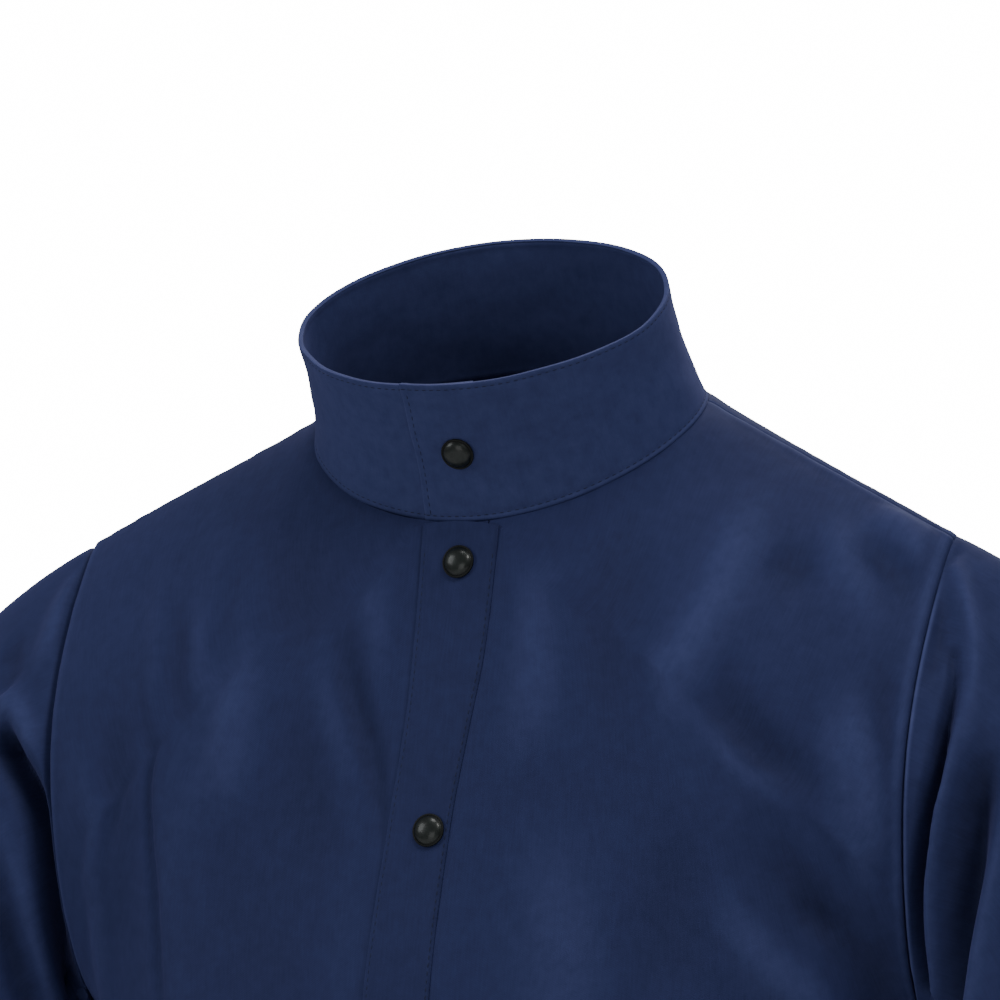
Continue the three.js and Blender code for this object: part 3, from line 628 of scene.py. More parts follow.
class Dresser:
    """Makes objects of cloth and thread, in metres, on the root body."""

    merged_within = 0.02
    bevelled_from = math.radians(60)
    cloth_smooth = math.radians(50)
    turned_smooth = math.radians(38)

    @staticmethod
    def deselect() -> None:
        """Leaves nothing selected."""
        if bpy.context.object and bpy.context.object.mode != "OBJECT":
            bpy.ops.object.mode_set(mode="OBJECT")
        bpy.ops.object.select_all(action="DESELECT")

    @staticmethod
    def mesh_object(
        name: str, points: Array, faces: Array, material: bpy.types.Material
    ) -> bpy.types.Object:
        """An object from points in mm and faces of equal size.

        Args:
            name: The object's name.
            points: The points in mm.
            faces: The faces' corners.
            material: Its finish.

        Returns:
            The new object, riding on the root body.
        """
        mesh = bpy.data.meshes.new(name)
        mesh.from_pydata((points * MM).tolist(), [], faces.tolist())
        mesh.materials.append(material)
        made = bpy.data.objects.new(name, mesh)
        bpy.context.collection.objects.link(made)
        mesh.polygons.foreach_set("use_smooth", [True] * len(mesh.polygons))
        mesh.update()
        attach(made, "root")
        return made

    @staticmethod
    def stand_for(piece: bpy.types.Object, node: str, cut: Cut) -> None:
        """Hides the frame's solid that a finished sheet takes the place of, and logs the sheet's faces.

        Args:
            piece: The sheet.
            node: The solid that it takes the place of.
            cut: Its flat size; not used.
        """
        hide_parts(node)
        log.info("%s: %d faces", piece.name, len(piece.data.polygons))

    @staticmethod
    def grid_faces(rows: int, columns: int, offset: int) -> Array:
        """Quads of a grid of points."""
        i, j = np.meshgrid(np.arange(rows - 1), np.arange(columns - 1), indexing="ij")
        a = (offset + i * columns + j).ravel()
        return np.stack([a, a + 1, a + columns + 1, a + columns], axis=-1)

    def cloth(
        self,
        name: str,
        grids: Sequence[Cloth],
        wall: float,
        material: bpy.types.Material,
        edge: float = 0.0,
        doubled: Optional[Callable[[Array], Array]] = None,
    ) -> bpy.types.Object:
        """A walled piece of cloth.

        Args:
            name: The object's name.
            grids: Its grids of points, which share their joining edges.
            wall: The cloth's thickness in mm.
            material: Its finish.
            edge: How much its edges are rounded, in mm.
            doubled: Gives 1 where points of the cloth are two layers thick and 0 elsewhere.

        Returns:
            The object.
        """
        faces, offset = [], 0
        for grid in grids:
            rows, columns = grid.points.shape[:2]
            quads = self.grid_faces(rows, columns, offset)
            corner = grid.points.reshape(-1, 3)[quads - offset]
            normal = np.cross(corner[:, 2] - corner[:, 0], corner[:, 3] - corner[:, 1])
            facing = np.sum(normal * grid.normals.reshape(-1, 3)[quads[:, 0] - offset])
            faces.append(quads if facing > 0 else quads[:, ::-1])
            offset += rows * columns
        points = np.concatenate([grid.points.reshape(-1, 3) for grid in grids])
        made = self.mesh_object(name, points, np.concatenate(faces), material)
        mesh = made.data
        flat = np.concatenate([grid.flat.reshape(-1, 2) for grid in grids]) * MM
        wear = np.concatenate([grid.wear.ravel() for grid in grids])
        corners = np.empty(len(mesh.loops), np.int32)
        mesh.loops.foreach_get("vertex_index", corners)
        places = mesh.uv_layers.new(name="flat")
        places.data.foreach_set("uv", flat[corners].astype(np.float32).ravel())
        # The attribute holds the real wear together with the painted shade and painted highlight, for the
        # finish.
        worn = mesh.attributes.new("wear", "FLOAT", "POINT")
        worn.data.foreach_set("value", wear.astype(np.float32))
        thick = made.vertex_groups.new(name="thick")
        double = doubled(points) if doubled else np.zeros(len(points))
        for weight, those in ((1.0, double > 0.5), (0.5, double <= 0.5)):
            thick.add(np.flatnonzero(those).tolist(), weight, "REPLACE")
        self.deselect()
        made.select_set(True)
        bpy.context.view_layer.objects.active = made
        bpy.ops.object.mode_set(mode="EDIT")
        bpy.ops.mesh.select_all(action="SELECT")
        bpy.ops.mesh.remove_doubles(threshold=self.merged_within * MM)
        bpy.ops.object.mode_set(mode="OBJECT")
        solidify = made.modifiers.new("wall", "SOLIDIFY")
        solidify.thickness = (2 if doubled else 1) * wall * MM
        solidify.offset = -1
        solidify.use_quality_normals = True
        if doubled:
            solidify.vertex_group = "thick"
        bpy.ops.object.modifier_apply(modifier="wall")
        if edge:
            bevel = made.modifiers.new("edge", "BEVEL")
            bevel.width = edge * MM
            bevel.segments = 2
            bevel.limit_method = "ANGLE"
            bevel.angle_limit = self.bevelled_from
            bpy.ops.object.modifier_apply(modifier="edge")
        bpy.ops.object.shade_smooth_by_angle(angle=self.cloth_smooth)
        made.vertex_groups.clear()
        self.deselect()
        return made

    def turned(
        self, name: str, profile: Sequence[tuple[float, float]], sides: int, material: bpy.types.Material
    ) -> bpy.types.Object:
        """A shape turned about +Z, drawn ring by ring from its foot to its top.

        Args:
            name: The object's name.
            profile: Radius and height of each ring in mm.
            sides: Corners of each ring.
            material: Its finish.

        Returns:
            The object, at the origin.
        """
        self.deselect()
        radius, height = profile[0]
        bpy.ops.mesh.primitive_circle_add(
            vertices=sides, radius=radius * MM, fill_type="NGON", location=(0, 0, height * MM)
        )
        made = bpy.context.object
        bpy.ops.object.transform_apply(location=True, rotation=False, scale=False)
        bpy.ops.object.mode_set(mode="EDIT")
        bpy.ops.mesh.select_all(action="SELECT")
        for (r0, z0), (r1, z1) in zip(profile, profile[1:]):
            bpy.ops.mesh.extrude_region_move(
                TRANSFORM_OT_translate={"value": (0, 0, (z1 - z0) * MM)}
            )
            bpy.ops.transform.resize(value=(r1 / r0, r1 / r0, 1))
        bpy.ops.mesh.select_all(action="SELECT")
        bpy.ops.mesh.normals_make_consistent(inside=False)
        bpy.ops.object.mode_set(mode="OBJECT")
        made.name = made.data.name = name
        made.data.materials.clear()
        made.data.materials.append(material)
        bpy.ops.object.shade_smooth_by_angle(angle=self.turned_smooth)
        self.deselect()
        return made


class Socket:
    """A shader socket on which Python's arithmetic adds Math nodes."""

    def __init__(self, finish: "Nodes", socket: bpy.types.NodeSocket) -> None:
        """Wraps a socket of a finish's node tree."""
        self.finish, self.socket = finish, socket

    def _math(self, operation: str, a: "Socket | float", b: "Socket | float") -> "Socket":
        """A Math node of two values."""
        return self.finish.node("ShaderNodeMath", {"operation": operation}, {0: a, 1: b})

    def __add__(self, other: "Socket | float") -> "Socket":
        """The sum."""
        return self._math("ADD", self, other)

    __radd__ = __add__

    def __mul__(self, other: "Socket | float") -> "Socket":
        """The product."""
        return self._math("MULTIPLY", self, other)

    __rmul__ = __mul__

    def __sub__(self, other: "Socket | float") -> "Socket":
        """The difference."""
        return self._math("SUBTRACT", self, other)

    def __rsub__(self, other: float) -> "Socket":
        """The difference from a number."""
        return self._math("SUBTRACT", other, self)

    def clamped(self, low: float, high: float) -> "Socket":
        """The value brought from low..high to 0..1 and kept there."""
        settings = {"clamp": True}
        return self.finish.node("ShaderNodeMapRange", settings, {"Value": self, 1: low, 2: high})


class Nodes:
    """A material whose nodes are added one by one."""

    def __init__(self, name: str) -> None:
        """Starts an empty material with its surface shader."""
        self.material = bpy.data.materials.new(name)
        self.material.use_nodes = True
        self.tree = self.material.node_tree
        self.tree.nodes.clear()
        self.shader = self.tree.nodes.new("ShaderNodeBsdfPrincipled")
        output = self.tree.nodes.new("ShaderNodeOutputMaterial")
        self.tree.links.new(self.shader.outputs[0], output.inputs["Surface"])

    def node(self, kind: str, settings: dict, inputs: dict, output: int | str = 0) -> Socket:
        """Adds a node.

        Args:
            kind: The node's type.
            settings: Its properties, set first; stops gives a ramp's places and colours.
            inputs: Values or sockets of its inputs, by name or number.
            output: The output to return.

        Returns:
            The wrapped output socket.
        """
        made = self.tree.nodes.new(kind)
        for name, value in settings.items():
            if name == "stops":
                for i, (place, colour) in enumerate(value):
                    stops = made.color_ramp.elements
                    stop = stops[i] if i < len(stops) else stops.new(place)
                    stop.position, stop.color = place, colour
            else:
                setattr(made, name, value)
        for name, value in inputs.items():
            self.join(made.inputs[name], value)
        return Socket(self, made.outputs[output])

    def join(self, target: bpy.types.NodeSocket, value: object) -> None:
        """Sets a socket to a number or links it to another socket."""
        if isinstance(value, Socket):
            self.tree.links.new(value.socket, target)
        else:
            target.default_value = value

    def surface(self, **inputs: object) -> bpy.types.Material:
        """Sets the shader's sockets, whose names have underscores for spaces, and ends the finish."""
        for name, value in inputs.items():
            self.join(self.shader.inputs[name.replace("_", " ").title().replace("Ior", "IOR")], value)
        return self.material

    def mix(self, factor: Socket, a: object, b: object) -> Socket:
        """A colour between two others."""
        return self.node("ShaderNodeMix", {"data_type": "RGBA"}, {0: factor, 6: a, 7: b}, 2)

    def noise(self, place: Socket, scale: float, detail: float = 2.0, rough: float = 0.5) -> Socket:
        """Noise at a place, about 0.5 in the middle."""
        inputs = {"Vector": place, "Scale": scale, "Detail": detail, "Roughness": rough}
        return self.node("ShaderNodeTexNoise", {"noise_dimensions": "3D"}, inputs)


def linear(red: float, green: float, blue: float) -> tuple[float, float, float, float]:
    """A colour from the usual 0 to 255 values."""
    parts = (c / 255 for c in (red, green, blue))
    r, g, b = (c / 12.92 if c <= 0.04045 else ((c + 0.055) / 1.055) ** 2.4 for c in parts)
    return (r, g, b, 1.0)


@dataclass(frozen=True)
class CottonFinish:
    """Tightly woven cotton, dyed navy: satin weave, faint slubs and paler rubbed seams, with painted shade
    and painted highlight taken from a per-point attribute.
    """

    name: str = "flame_retardant_cotton"
    dark: tuple[float, float, float] = (13, 18, 46)
    light: tuple[float, float, float] = (35, 43, 84)
    # The rubbed colour is the real wear of seams and edges, and also the painted highlight on fold ridges and
    # over the collar.
    rubbed: tuple[float, float, float] = (56, 63, 102)
    yarn: float = 0.42

    def build(self) -> bpy.types.Material:
        """Makes the material."""
        made = Nodes(self.name)
        place = made.node("ShaderNodeTexCoord", {}, {}, "Object")
        flat = made.node("ShaderNodeUVMap", {"uv_map": "flat"}, {})
        slubbed = made.node("ShaderNodeMapping", {}, {"Vector": flat, "Scale": (1.0, 0.06, 1.0)})
        slubs = made.noise(slubbed, 1100.0, 3.0, 0.6)
        cloud = made.noise(place, 14.0, 3.0, 0.55)
        mottle = made.noise(place, 160.0, 3.0, 0.6)
        tone = (cloud * 0.2 + mottle * 0.4 + slubs * 0.4).clamped(0.2, 0.8)
        # Below 0 the attribute darkens the cloth: painted shade in fold valleys, at the collar's foot and
        # along the placket's sewn edge, and a slight darkening of the whole placket. Above 0 it lightens it:
        # real wear, and painted highlight on fold ridges and over the collar.
        wear = made.node("ShaderNodeAttribute", {"attribute_name": "wear"}, {}, "Fac")
        base = made.mix((tone + wear).clamped(-0.5, 1.4), linear(*self.dark), linear(*self.light))
        base = made.mix(wear.clamped(0.0, 1.0) * (mottle * 0.9 + 0.25), base, linear(*self.rubbed))
        warp = made.node("ShaderNodeTexWave", {"bands_direction": "X"}, {
            "Vector": flat, "Scale": 0.31 / (self.yarn * MM), "Distortion": 0.6, "Detail": 1.0,
        }, 1)
        turned = made.node("ShaderNodeMapping", {}, {
            "Vector": flat, "Rotation": (0, 0, math.radians(63)),
        })
        twill = made.node("ShaderNodeTexWave", {"bands_direction": "X"}, {
            "Vector": turned, "Scale": 0.31 / (self.yarn * 1.7 * MM), "Distortion": 0.8, "Detail": 1.0,
        }, 1)
        relief = warp * 0.12 + twill * 0.16 + slubs * 0.28 + mottle * 0.8
        normal = made.node("ShaderNodeBump", {}, {
            "Height": relief, "Strength": 0.2, "Distance": 0.5 * MM,
        })
        return made.surface(
            base_color=base, roughness=0.86 - tone * 0.1, normal=normal,
            sheen_weight=0.12, sheen_roughness=0.5, sheen_tint=linear(132, 136, 214),
            specular_ior_level=0.18,
        )


@dataclass(frozen=True)
class ThreadFinish:
    """Spun sewing thread, dyed to match."""

    name: str = "sewing_thread"
    colour: tuple[float, float, float] = (27, 34, 62)

    def build(self) -> bpy.types.Material:
        """Makes the material."""
        made = Nodes(self.name)
        place = made.node("ShaderNodeTexCoord", {}, {}, "Object")
        grain = made.noise(place, 2600.0)
        base = made.mix(grain, linear(*(0.72 * c for c in self.colour)), linear(*self.colour))
        normal = made.node("ShaderNodeBump", {}, {"Height": grain, "Strength": 0.4, "Distance": 0.1 * MM})
        return made.surface(base_color=base, roughness=0.8, normal=normal, specular_ior_level=0.2)


@dataclass(frozen=True)
class SnapFinish:
    """Blackened brass, worn a little brighter on its high places."""

    name: str = "blackened_brass"
    dark: tuple[float, float, float] = (6, 9, 9)
    bright: tuple[float, float, float] = (25, 32, 30)

    def build(self) -> bpy.types.Material:
        """Makes the material."""
        made = Nodes(self.name)
        place = made.node("ShaderNodeTexCoord", {}, {}, "Object")
        cloud = made.noise(place, 420.0, 4.0, 0.6)
        worn = made.noise(place, 1500.0, 3.0, 0.7)
        crown = made.node("ShaderNodeAttribute", {"attribute_name": "wear"}, {}, "Fac")
        rubbed = (cloud * 0.7 + worn * 0.3).clamped(0.3, 0.75) * crown
        base = made.mix(rubbed, linear(*self.dark), linear(*self.bright))
        normal = made.node("ShaderNodeBump", {}, {"Height": worn, "Strength": 0.15, "Distance": 0.1 * MM})
        return made.surface(
            base_color=base, metallic=0.4, roughness=0.55 - rubbed * 0.2, normal=normal,
            coat_weight=crown * 0.3, coat_roughness=0.2, specular_ior_level=0.3,
        )


@dataclass
class Stitching:
    """Rows of lock stitches laid on finished cloth."""

    dresser: Dresser
    material: bpy.types.Material
    length: float = 2.7
    gap: float = 0.9
    thick: float = 0.5
    sunk: float = 0.2
    droop: float = 0.35
    squashed: float = 0.8

    def pattern(self) -> tuple[Array, Array]:
        """One stitch along +X, as corners in mm and faces."""
        rings, sides = 5, 6
        along = np.linspace(-1, 1, rings)
        swell = np.sqrt(np.clip(1.05 - along**2, 0.05, 1))
        turn = np.arange(sides) * 2 * math.pi / sides
        x = np.repeat(along * self.length / 2, sides)
        radius = np.repeat(swell, sides) * self.thick / 2
        bend = np.repeat(-self.droop * self.thick * along**4, sides)
        turns = np.tile(turn, rings)
        corners = vec(x, radius * np.cos(turns), radius * np.sin(turns) * self.squashed + bend)
        faces = []
        for i in range(rings - 1):
            for j in range(sides):
                a, b = i * sides + j, i * sides + (j + 1) % sides
                faces.append((a, b, b + sides, a + sides))
        for ring in (0, rings - 1):
            a = ring * sides
            quads = ((a, a + 3, a + 2, a + 1), (a, a + 5, a + 4, a + 3))
            faces += [q[::-1] if ring else q for q in quads]
        return corners, np.array(faces)

    @staticmethod
    def along(values: Array, run: Array, places: Array) -> Array:
        """Vectors given at each point of a line, read at places along its length."""
        return np.stack([np.interp(places, run, values[:, k]) for k in range(3)], axis=-1)

    def sew(self, name: str, seams: Sequence[tuple[Array, Array]]) -> bpy.types.Object:
        """Lays stitches along lines.

        Args:
            name: The object's name.
            seams: The points and normals of each line.

        Returns:
            One object of all the stitches.
        """
        corners, faces = self.pattern()
        points, quads = [], []
        for line, normals in seams:
            run = run_of(line, 0)
            pitch = self.length + self.gap
            places = np.arange(pitch / 2, run[-1] - pitch / 4, pitch)
            at = self.along(line, run, places)
            up = unit(self.along(normals, run, places))
            way = unit(self.along(line, run, np.minimum(places + 1, run[-1])) - at)
            side = unit(np.cross(up, way))
            up = np.cross(way, side)
            base = at + up * (self.thick * 0.4 - self.sunk)
            placed = (
                base[:, None]
                + way[:, None] * corners[None, :, :1]
                + side[:, None] * corners[None, :, 1:2]
                + up[:, None] * corners[None, :, 2:]
            )
            start = sum(len(p) for p in points)
            points.append(placed.reshape(-1, 3))
            offsets = start + np.arange(len(places))[:, None, None] * len(corners)
            quads.append((faces[None] + offsets).reshape(-1, 4))
        made = self.dresser.mesh_object(
            name, np.concatenate(points), np.concatenate(quads), self.material
        )
        log.info("%s: %d faces", made.name, len(made.data.polygons))
        return made


BODY_FOLDS: dict[str, tuple[Fold, ...]] = {
    "front_right": (
        Fold(((74, 101), (62, 121), (49, 141), (38, 158), (28, 180), (18, 204)), 5.0, 8, 6, (0.0, 0.7)),
        Fold(((61, 87), (50, 101), (36, 115), (21, 133)), -1.8, 9, 9),
        Fold(((80, 101), (70, 123), (59, 147), (49, 167), (35, 193)), -1.8, 10, 12),
        Fold(((160, 94), (158, 119), (163, 141), (169, 168)), 2.4, 9, 9),
        Fold(((179, 83), (174, 110), (175, 142), (179, 168)), -1.6, 8, 8),
        Fold(((144, 95), (147, 128), (154, 160)), -1.6, 9, 9),
        Fold(((185, 120), (184, 146), (184, 178), (168, 207), (152, 240), (145, 280), (142, 330)), 3.0, 4, 4),
        Fold(((116, 68), (120, 85), (127, 102), (136, 124), (147, 150)), 1.7, 8, 7),
        Fold(((85, 50), (88, 83), (93, 110), (87, 145)), 3.0, 16, 16),
        Fold(((123, 115), (121, 145), (114, 175), (102, 210)), -3.0, 16, 16),
        Fold(((196, 138), (205, 165), (212, 192), (196, 222)), 2.4, 9, 9),
        Fold(((78, 141), (70, 172), (59, 203), (45, 237)), 2.6, 12, 12),
        Fold(((223, 152), (230, 188), (223, 225), (205, 262), (196, 320)), -2.4, 10, 10),
        Fold(((150, 320), (142, 400), (137, 540)), 3.6, 14, 18),
        Fold(((186, 300), (178, 450), (168, 700)), -4.0, 22, 22),
        Fold(((64, 330), (66, 520), (76, 745)), -4.2, 26, 26),
        Fold(((112, 400), (112, 560), (108, 745)), 4.2, 22, 26),
    ),
    "front_left": (
        Fold(((127, 46), (136, 74), (138, 98), (134, 121), (131, 145), (127, 173)), -4.5, 12, 14),
        Fold(((152, 79), (166, 88), (182, 100)), 3.0, 8, 8),
        Fold(((166, 58), (183, 79), (202, 99), (225, 116)), -3.0, 9, 9),
        Fold(((190, 72), (204, 85), (218, 97), (231, 112)), 3.5, 7, 7),
        Fold(((185, 61), (201, 70), (217, 81), (232, 96)), -4.0, 7, 8),
        Fold(((150, 118), (160, 143), (176, 159), (194, 172), (211, 181), (230, 190)), 4.6, 8, 8),
        Fold(((150, 148), (158, 164), (172, 176), (193, 184), (216, 192)), -2.4, 9, 9),
        Fold(((206, 133), (223, 163), (240, 190), (250, 213), (238, 245)), -5.0, 12, 12),
        Fold(((155, 192), (173, 211), (190, 230), (210, 250), (214, 300)), 4.0, 18, 16),
        Fold(((180, 234), (197, 241), (216, 247)), 2.4, 8, 8),
        Fold(((133, 219), (147, 243), (162, 263), (180, 282), (186, 330)), -4.0, 10, 12),
        Fold(((262, 250), (238, 263), (218, 282), (212, 330)), 5.0, 14, 12),
        Fold(((218, 120), (231, 146), (243, 168), (254, 193)), 3.5, 6, 6),
        Fold(((52, 70), (51, 110), (47, 145), (45, 186)), -3.5, 14, 14),
        Fold(((75, 45), (85, 84), (92, 123), (85, 175)), 2.6, 14, 14),
        Fold(((134, 184), (121, 219), (117, 249), (119, 290)), 2.6, 16, 16),
        Fold(((63, 186), (63, 223), (71, 270), (74, 330)), -2.6, 16, 16),
        Fold(((206, 350), (198, 450), (188, 660)), -4.0, 20, 20),
        Fold(((64, 400), (68, 560), (76, 745)), -4.2, 26, 26),
        Fold(((126, 380), (120, 560), (112, 748)), 4.2, 24, 24),
    ),
    "back": (
        Fold(((152, 230), (132, 330), (104, 460)), 4.0, 22, 26),
        Fold(((-148, 210), (-134, 330), (-112, 480)), 3.6, 26, 20),
        Fold(((60, 90), (92, 132), (126, 200)), 1.8, 22, 22),
        Fold(((-48, 100), (-88, 150), (-120, 230)), 2.0, 20, 24),
        Fold(((12, 300), (6, 420), (16, 560)), 2.4, 24, 24),
        Fold(((78, 470), (88, 600), (94, 748)), -4.0, 26, 26),
        Fold(((-84, 440), (-88, 600), (-80, 748)), -3.6, 28, 24),
        Fold(((146, 480), (150, 600), (150, 748)), 3.0, 22, 22),
        Fold(((-150, 460), (-146, 600), (-154, 748)), 3.2, 22, 22),
        Fold(((180, 140), (168, 200), (150, 262)), 2.0, 14, 14),
        Fold(((-176, 150), (-166, 210), (-154, 270)), 2.4, 14, 14),
        Fold(((30, 560), (24, 660), (32, 748)), 2.6, 22, 22),
    ),
}
SLEEVE_FOLDS: dict[str, tuple[Fold, ...]] = {
    "sleeve_left": (
        Fold(((15, 62), (18, 74), (18.5, 88), (17.5, 101), (16, 118), (13, 132), (11, 148), (9, 163),
              (7.5, 179), (7.5, 197), (9, 217)), 18, 3.4, 2.6, (0.2, 0.9)),
        Fold(((24, 78), (23, 97), (21, 115), (18.5, 132), (16, 151), (15, 173), (17, 195), (20, 212)),
             -5, 4.5, 5, (0.2, 0.8)),
        Fold(((2, 18), (13, 32), (23, 50), (28, 72), (30, 95), (31, 116)), -2.5, 5, 5, (0.3, 0.0)),
        Fold(((42, 76), (43, 96), (42, 114), (40, 137), (37, 161), (36, 178), (40, 205)),
             15, 11, 8, (0.0, 0.9)),
        Fold(((60, 100), (58, 130), (56, 165), (60, 200)), -4.0, 9, 9, (0.0, 0.9)),
        Fold(((4, 6), (3, 15), (1.5, 24)), 2.2, 2.5, 2.5),
        Fold(((1, 6), (6, 19), (15, 33), (25, 54), (29, 77)), -3.0, 6, 5),
        Fold(((4, 30), (6, 49), (8, 68), (10, 90)), 2.4, 3.5, 3.5),
        Fold(((66, 60), (64, 90), (62, 130)), -3.0, 12, 12),
        Fold(((120, 90), (150, 120), (195, 130)), 2.6, 16, 16),
        Fold(((250, 120), (280, 160), (312, 200)), 3.0, 14, 14),
        Fold(((312, 95), (330, 145), (350, 200)), -3.5, 14, 14),
        Fold(((328, 80), (352, 130), (388, 190)), 5.0, 10, 16),
        Fold(((372, 60), (410, 110), (452, 175)), 4.5, 9, 14),
        Fold(((430, 80), (470, 125), (505, 165)), 3.0, 12, 12),
        Fold(((520, 60), (548, 95), (566, 140)), 2.6, 10, 12),
        Fold(((360, -60), (392, -110), (430, -165)), 3.2, 14, 12),
        Fold(((300, -40), (330, -100), (352, -170)), -2.6, 16, 16),
        Fold(((540, -40), (520, -90), (500, -140)), 2.4, 12, 12),
        Fold(((100, -60), (150, -80), (210, -90)), 2.2, 18, 18),
        Fold(((160, 10), (230, 20), (300, 10)), -2.2, 22, 22),
    ),
    "sleeve_right": (
        Fold(((31, 98), (24, 110), (16, 125), (10, 140), (7, 152), (6, 170), (6, 190), (6, 212), (7, 232)),
             19, 6.5, 4.5, (0.9, 0.9)),
        Fold(((30, 77), (18, 94), (8, 114), (4, 127)), -5, 6, 8, (0.8, 0.2)),
        Fold(((1, 14), (5, 31), (9, 57), (12, 81)), -3.0, 8, 8),
        Fold(((40, 36), (33, 58), (28, 80)), 3.5, 8, 8),
        Fold(((30, 144), (24, 163), (21, 181), (20, 205), (21, 225)), -4, 8, 8, (0.6, 0.9)),
        Fold(((42, 168), (39, 189), (38, 214)), 6, 12, 9, (0.6, 0.9)),
        Fold(((110, 80), (150, 112), (200, 126)), 2.6, 16, 16),
        Fold(((244, 112), (276, 160), (304, 200)), 3.0, 14, 14),
        Fold(((308, 90), (326, 145), (342, 200)), -3.5, 14, 14),
        Fold(((322, 76), (348, 130), (380, 190)), 5.0, 10, 16),
        Fold(((378, 64), (404, 110), (440, 175)), 4.5, 9, 14),
        Fold(((436, 70), (466, 125), (498, 165)), 3.0, 12, 12),
        Fold(((512, 64), (544, 95), (570, 136)), 2.6, 10, 12),
        Fold(((352, -56), (388, -110), (434, -165)), 3.2, 14, 12),
        Fold(((296, -44), (322, -100), (350, -170)), -2.6, 16, 16),
        Fold(((532, -50), (516, -90), (494, -140)), 2.4, 12, 12),
        Fold(((94, -50), (140, -80), (204, -96)), 2.2, 18, 18),
        Fold(((150, 0), (220, 14), (300, 4)), -2.2, 22, 22),
    ),
}


@dataclass(frozen=True)
class Seam:
    """The look of a felled seam: a groove where two pieces meet and a ridge over its allowance."""

    groove: float = 2.2
    narrow: float = 0.6
    soft: float = 0.45
    soft_wide: float = 2.6
    ridge: float = 0.55
    ridge_at: float = 4.2
    ridge_wide: float = 3.2
    pucker: float = 0.2
    pucker_length: float = 16
    pucker_at: float = 3
    pucker_wide: float = 6
    line_wear: float = 0.35
    line_wear_at: float = 0.8
    line_wear_wide: float = 0.9
    ridge_wear: float = 0.3
    ridge_wear_wide: float = 2.2

    def push(self, distance: Array, along: Array, ridged: bool, seed: int) -> Array:
        """How far the seam draws its cloth in.

        Args:
            distance: From the seam, in mm.
            along: The length along the seam, in mm.
            ridged: Whether the allowance lies on this side.
            seed: Which puckers.

        Returns:
            The push inwards in mm.
        """
        depth = self.groove * bump(distance, self.narrow) + self.soft * bump(distance, self.soft_wide)
        if ridged:
            depth = depth - self.ridge * bump(distance - self.ridge_at, self.ridge_wide)
        unevenness = waves(along, 0 * along, self.pucker_length, seed)
        return depth + self.pucker * unevenness * bump(distance - self.pucker_at, self.pucker_wide)

    def wear(self, distance: Array, ridged: bool) -> Array:
        """How much the dye is rubbed off along the seam."""
        edge = self.line_wear * bump(distance - self.line_wear_at, self.line_wear_wide)
        ridge = self.ridge_wear * bump(distance - self.ridge_at, self.ridge_wear_wide)
        return edge + ridge * ridged


@dataclass(frozen=True)
class Hem:
    """The look of a turned hem: a sunk row of stitches, a full roll below it and puckers."""

    depth: float = 24
    stitch: float = 0.45
    stitch_wide: float = 1.3
    roll: float = 0.25
    roll_at: float = 13.2
    roll_wide: float = 7
    pucker: float = 0.35
    pucker_length: float = 22
    edge_wear: Mark = Mark(0.5, 0, 1.5)
    stitch_wear: Mark = Mark(0.3, 24, 2)

    def push(self, distance: Array, along: Array, seed: int) -> Array:
        """How far the hem draws its cloth in.

        Args:
            distance: From the cloth's edge, in mm.
            along: The length along the edge, in mm.
            seed: Which puckers.

        Returns:
            The push inwards in mm.
        """
        depth = self.stitch * bump(distance - self.depth, self.stitch_wide)
        depth = depth - self.roll * bump(distance - self.roll_at, self.roll_wide)
        unevenness = waves(along, 0 * along, self.pucker_length, seed)
        return depth + self.pucker * unevenness * bump(distance, self.depth)

    def wear(self, distance: Array) -> Array:
        """How much the dye is rubbed off at the edge and along the stitches."""
        return np.maximum(self.edge_wear.push(distance), self.stitch_wear.push(distance))


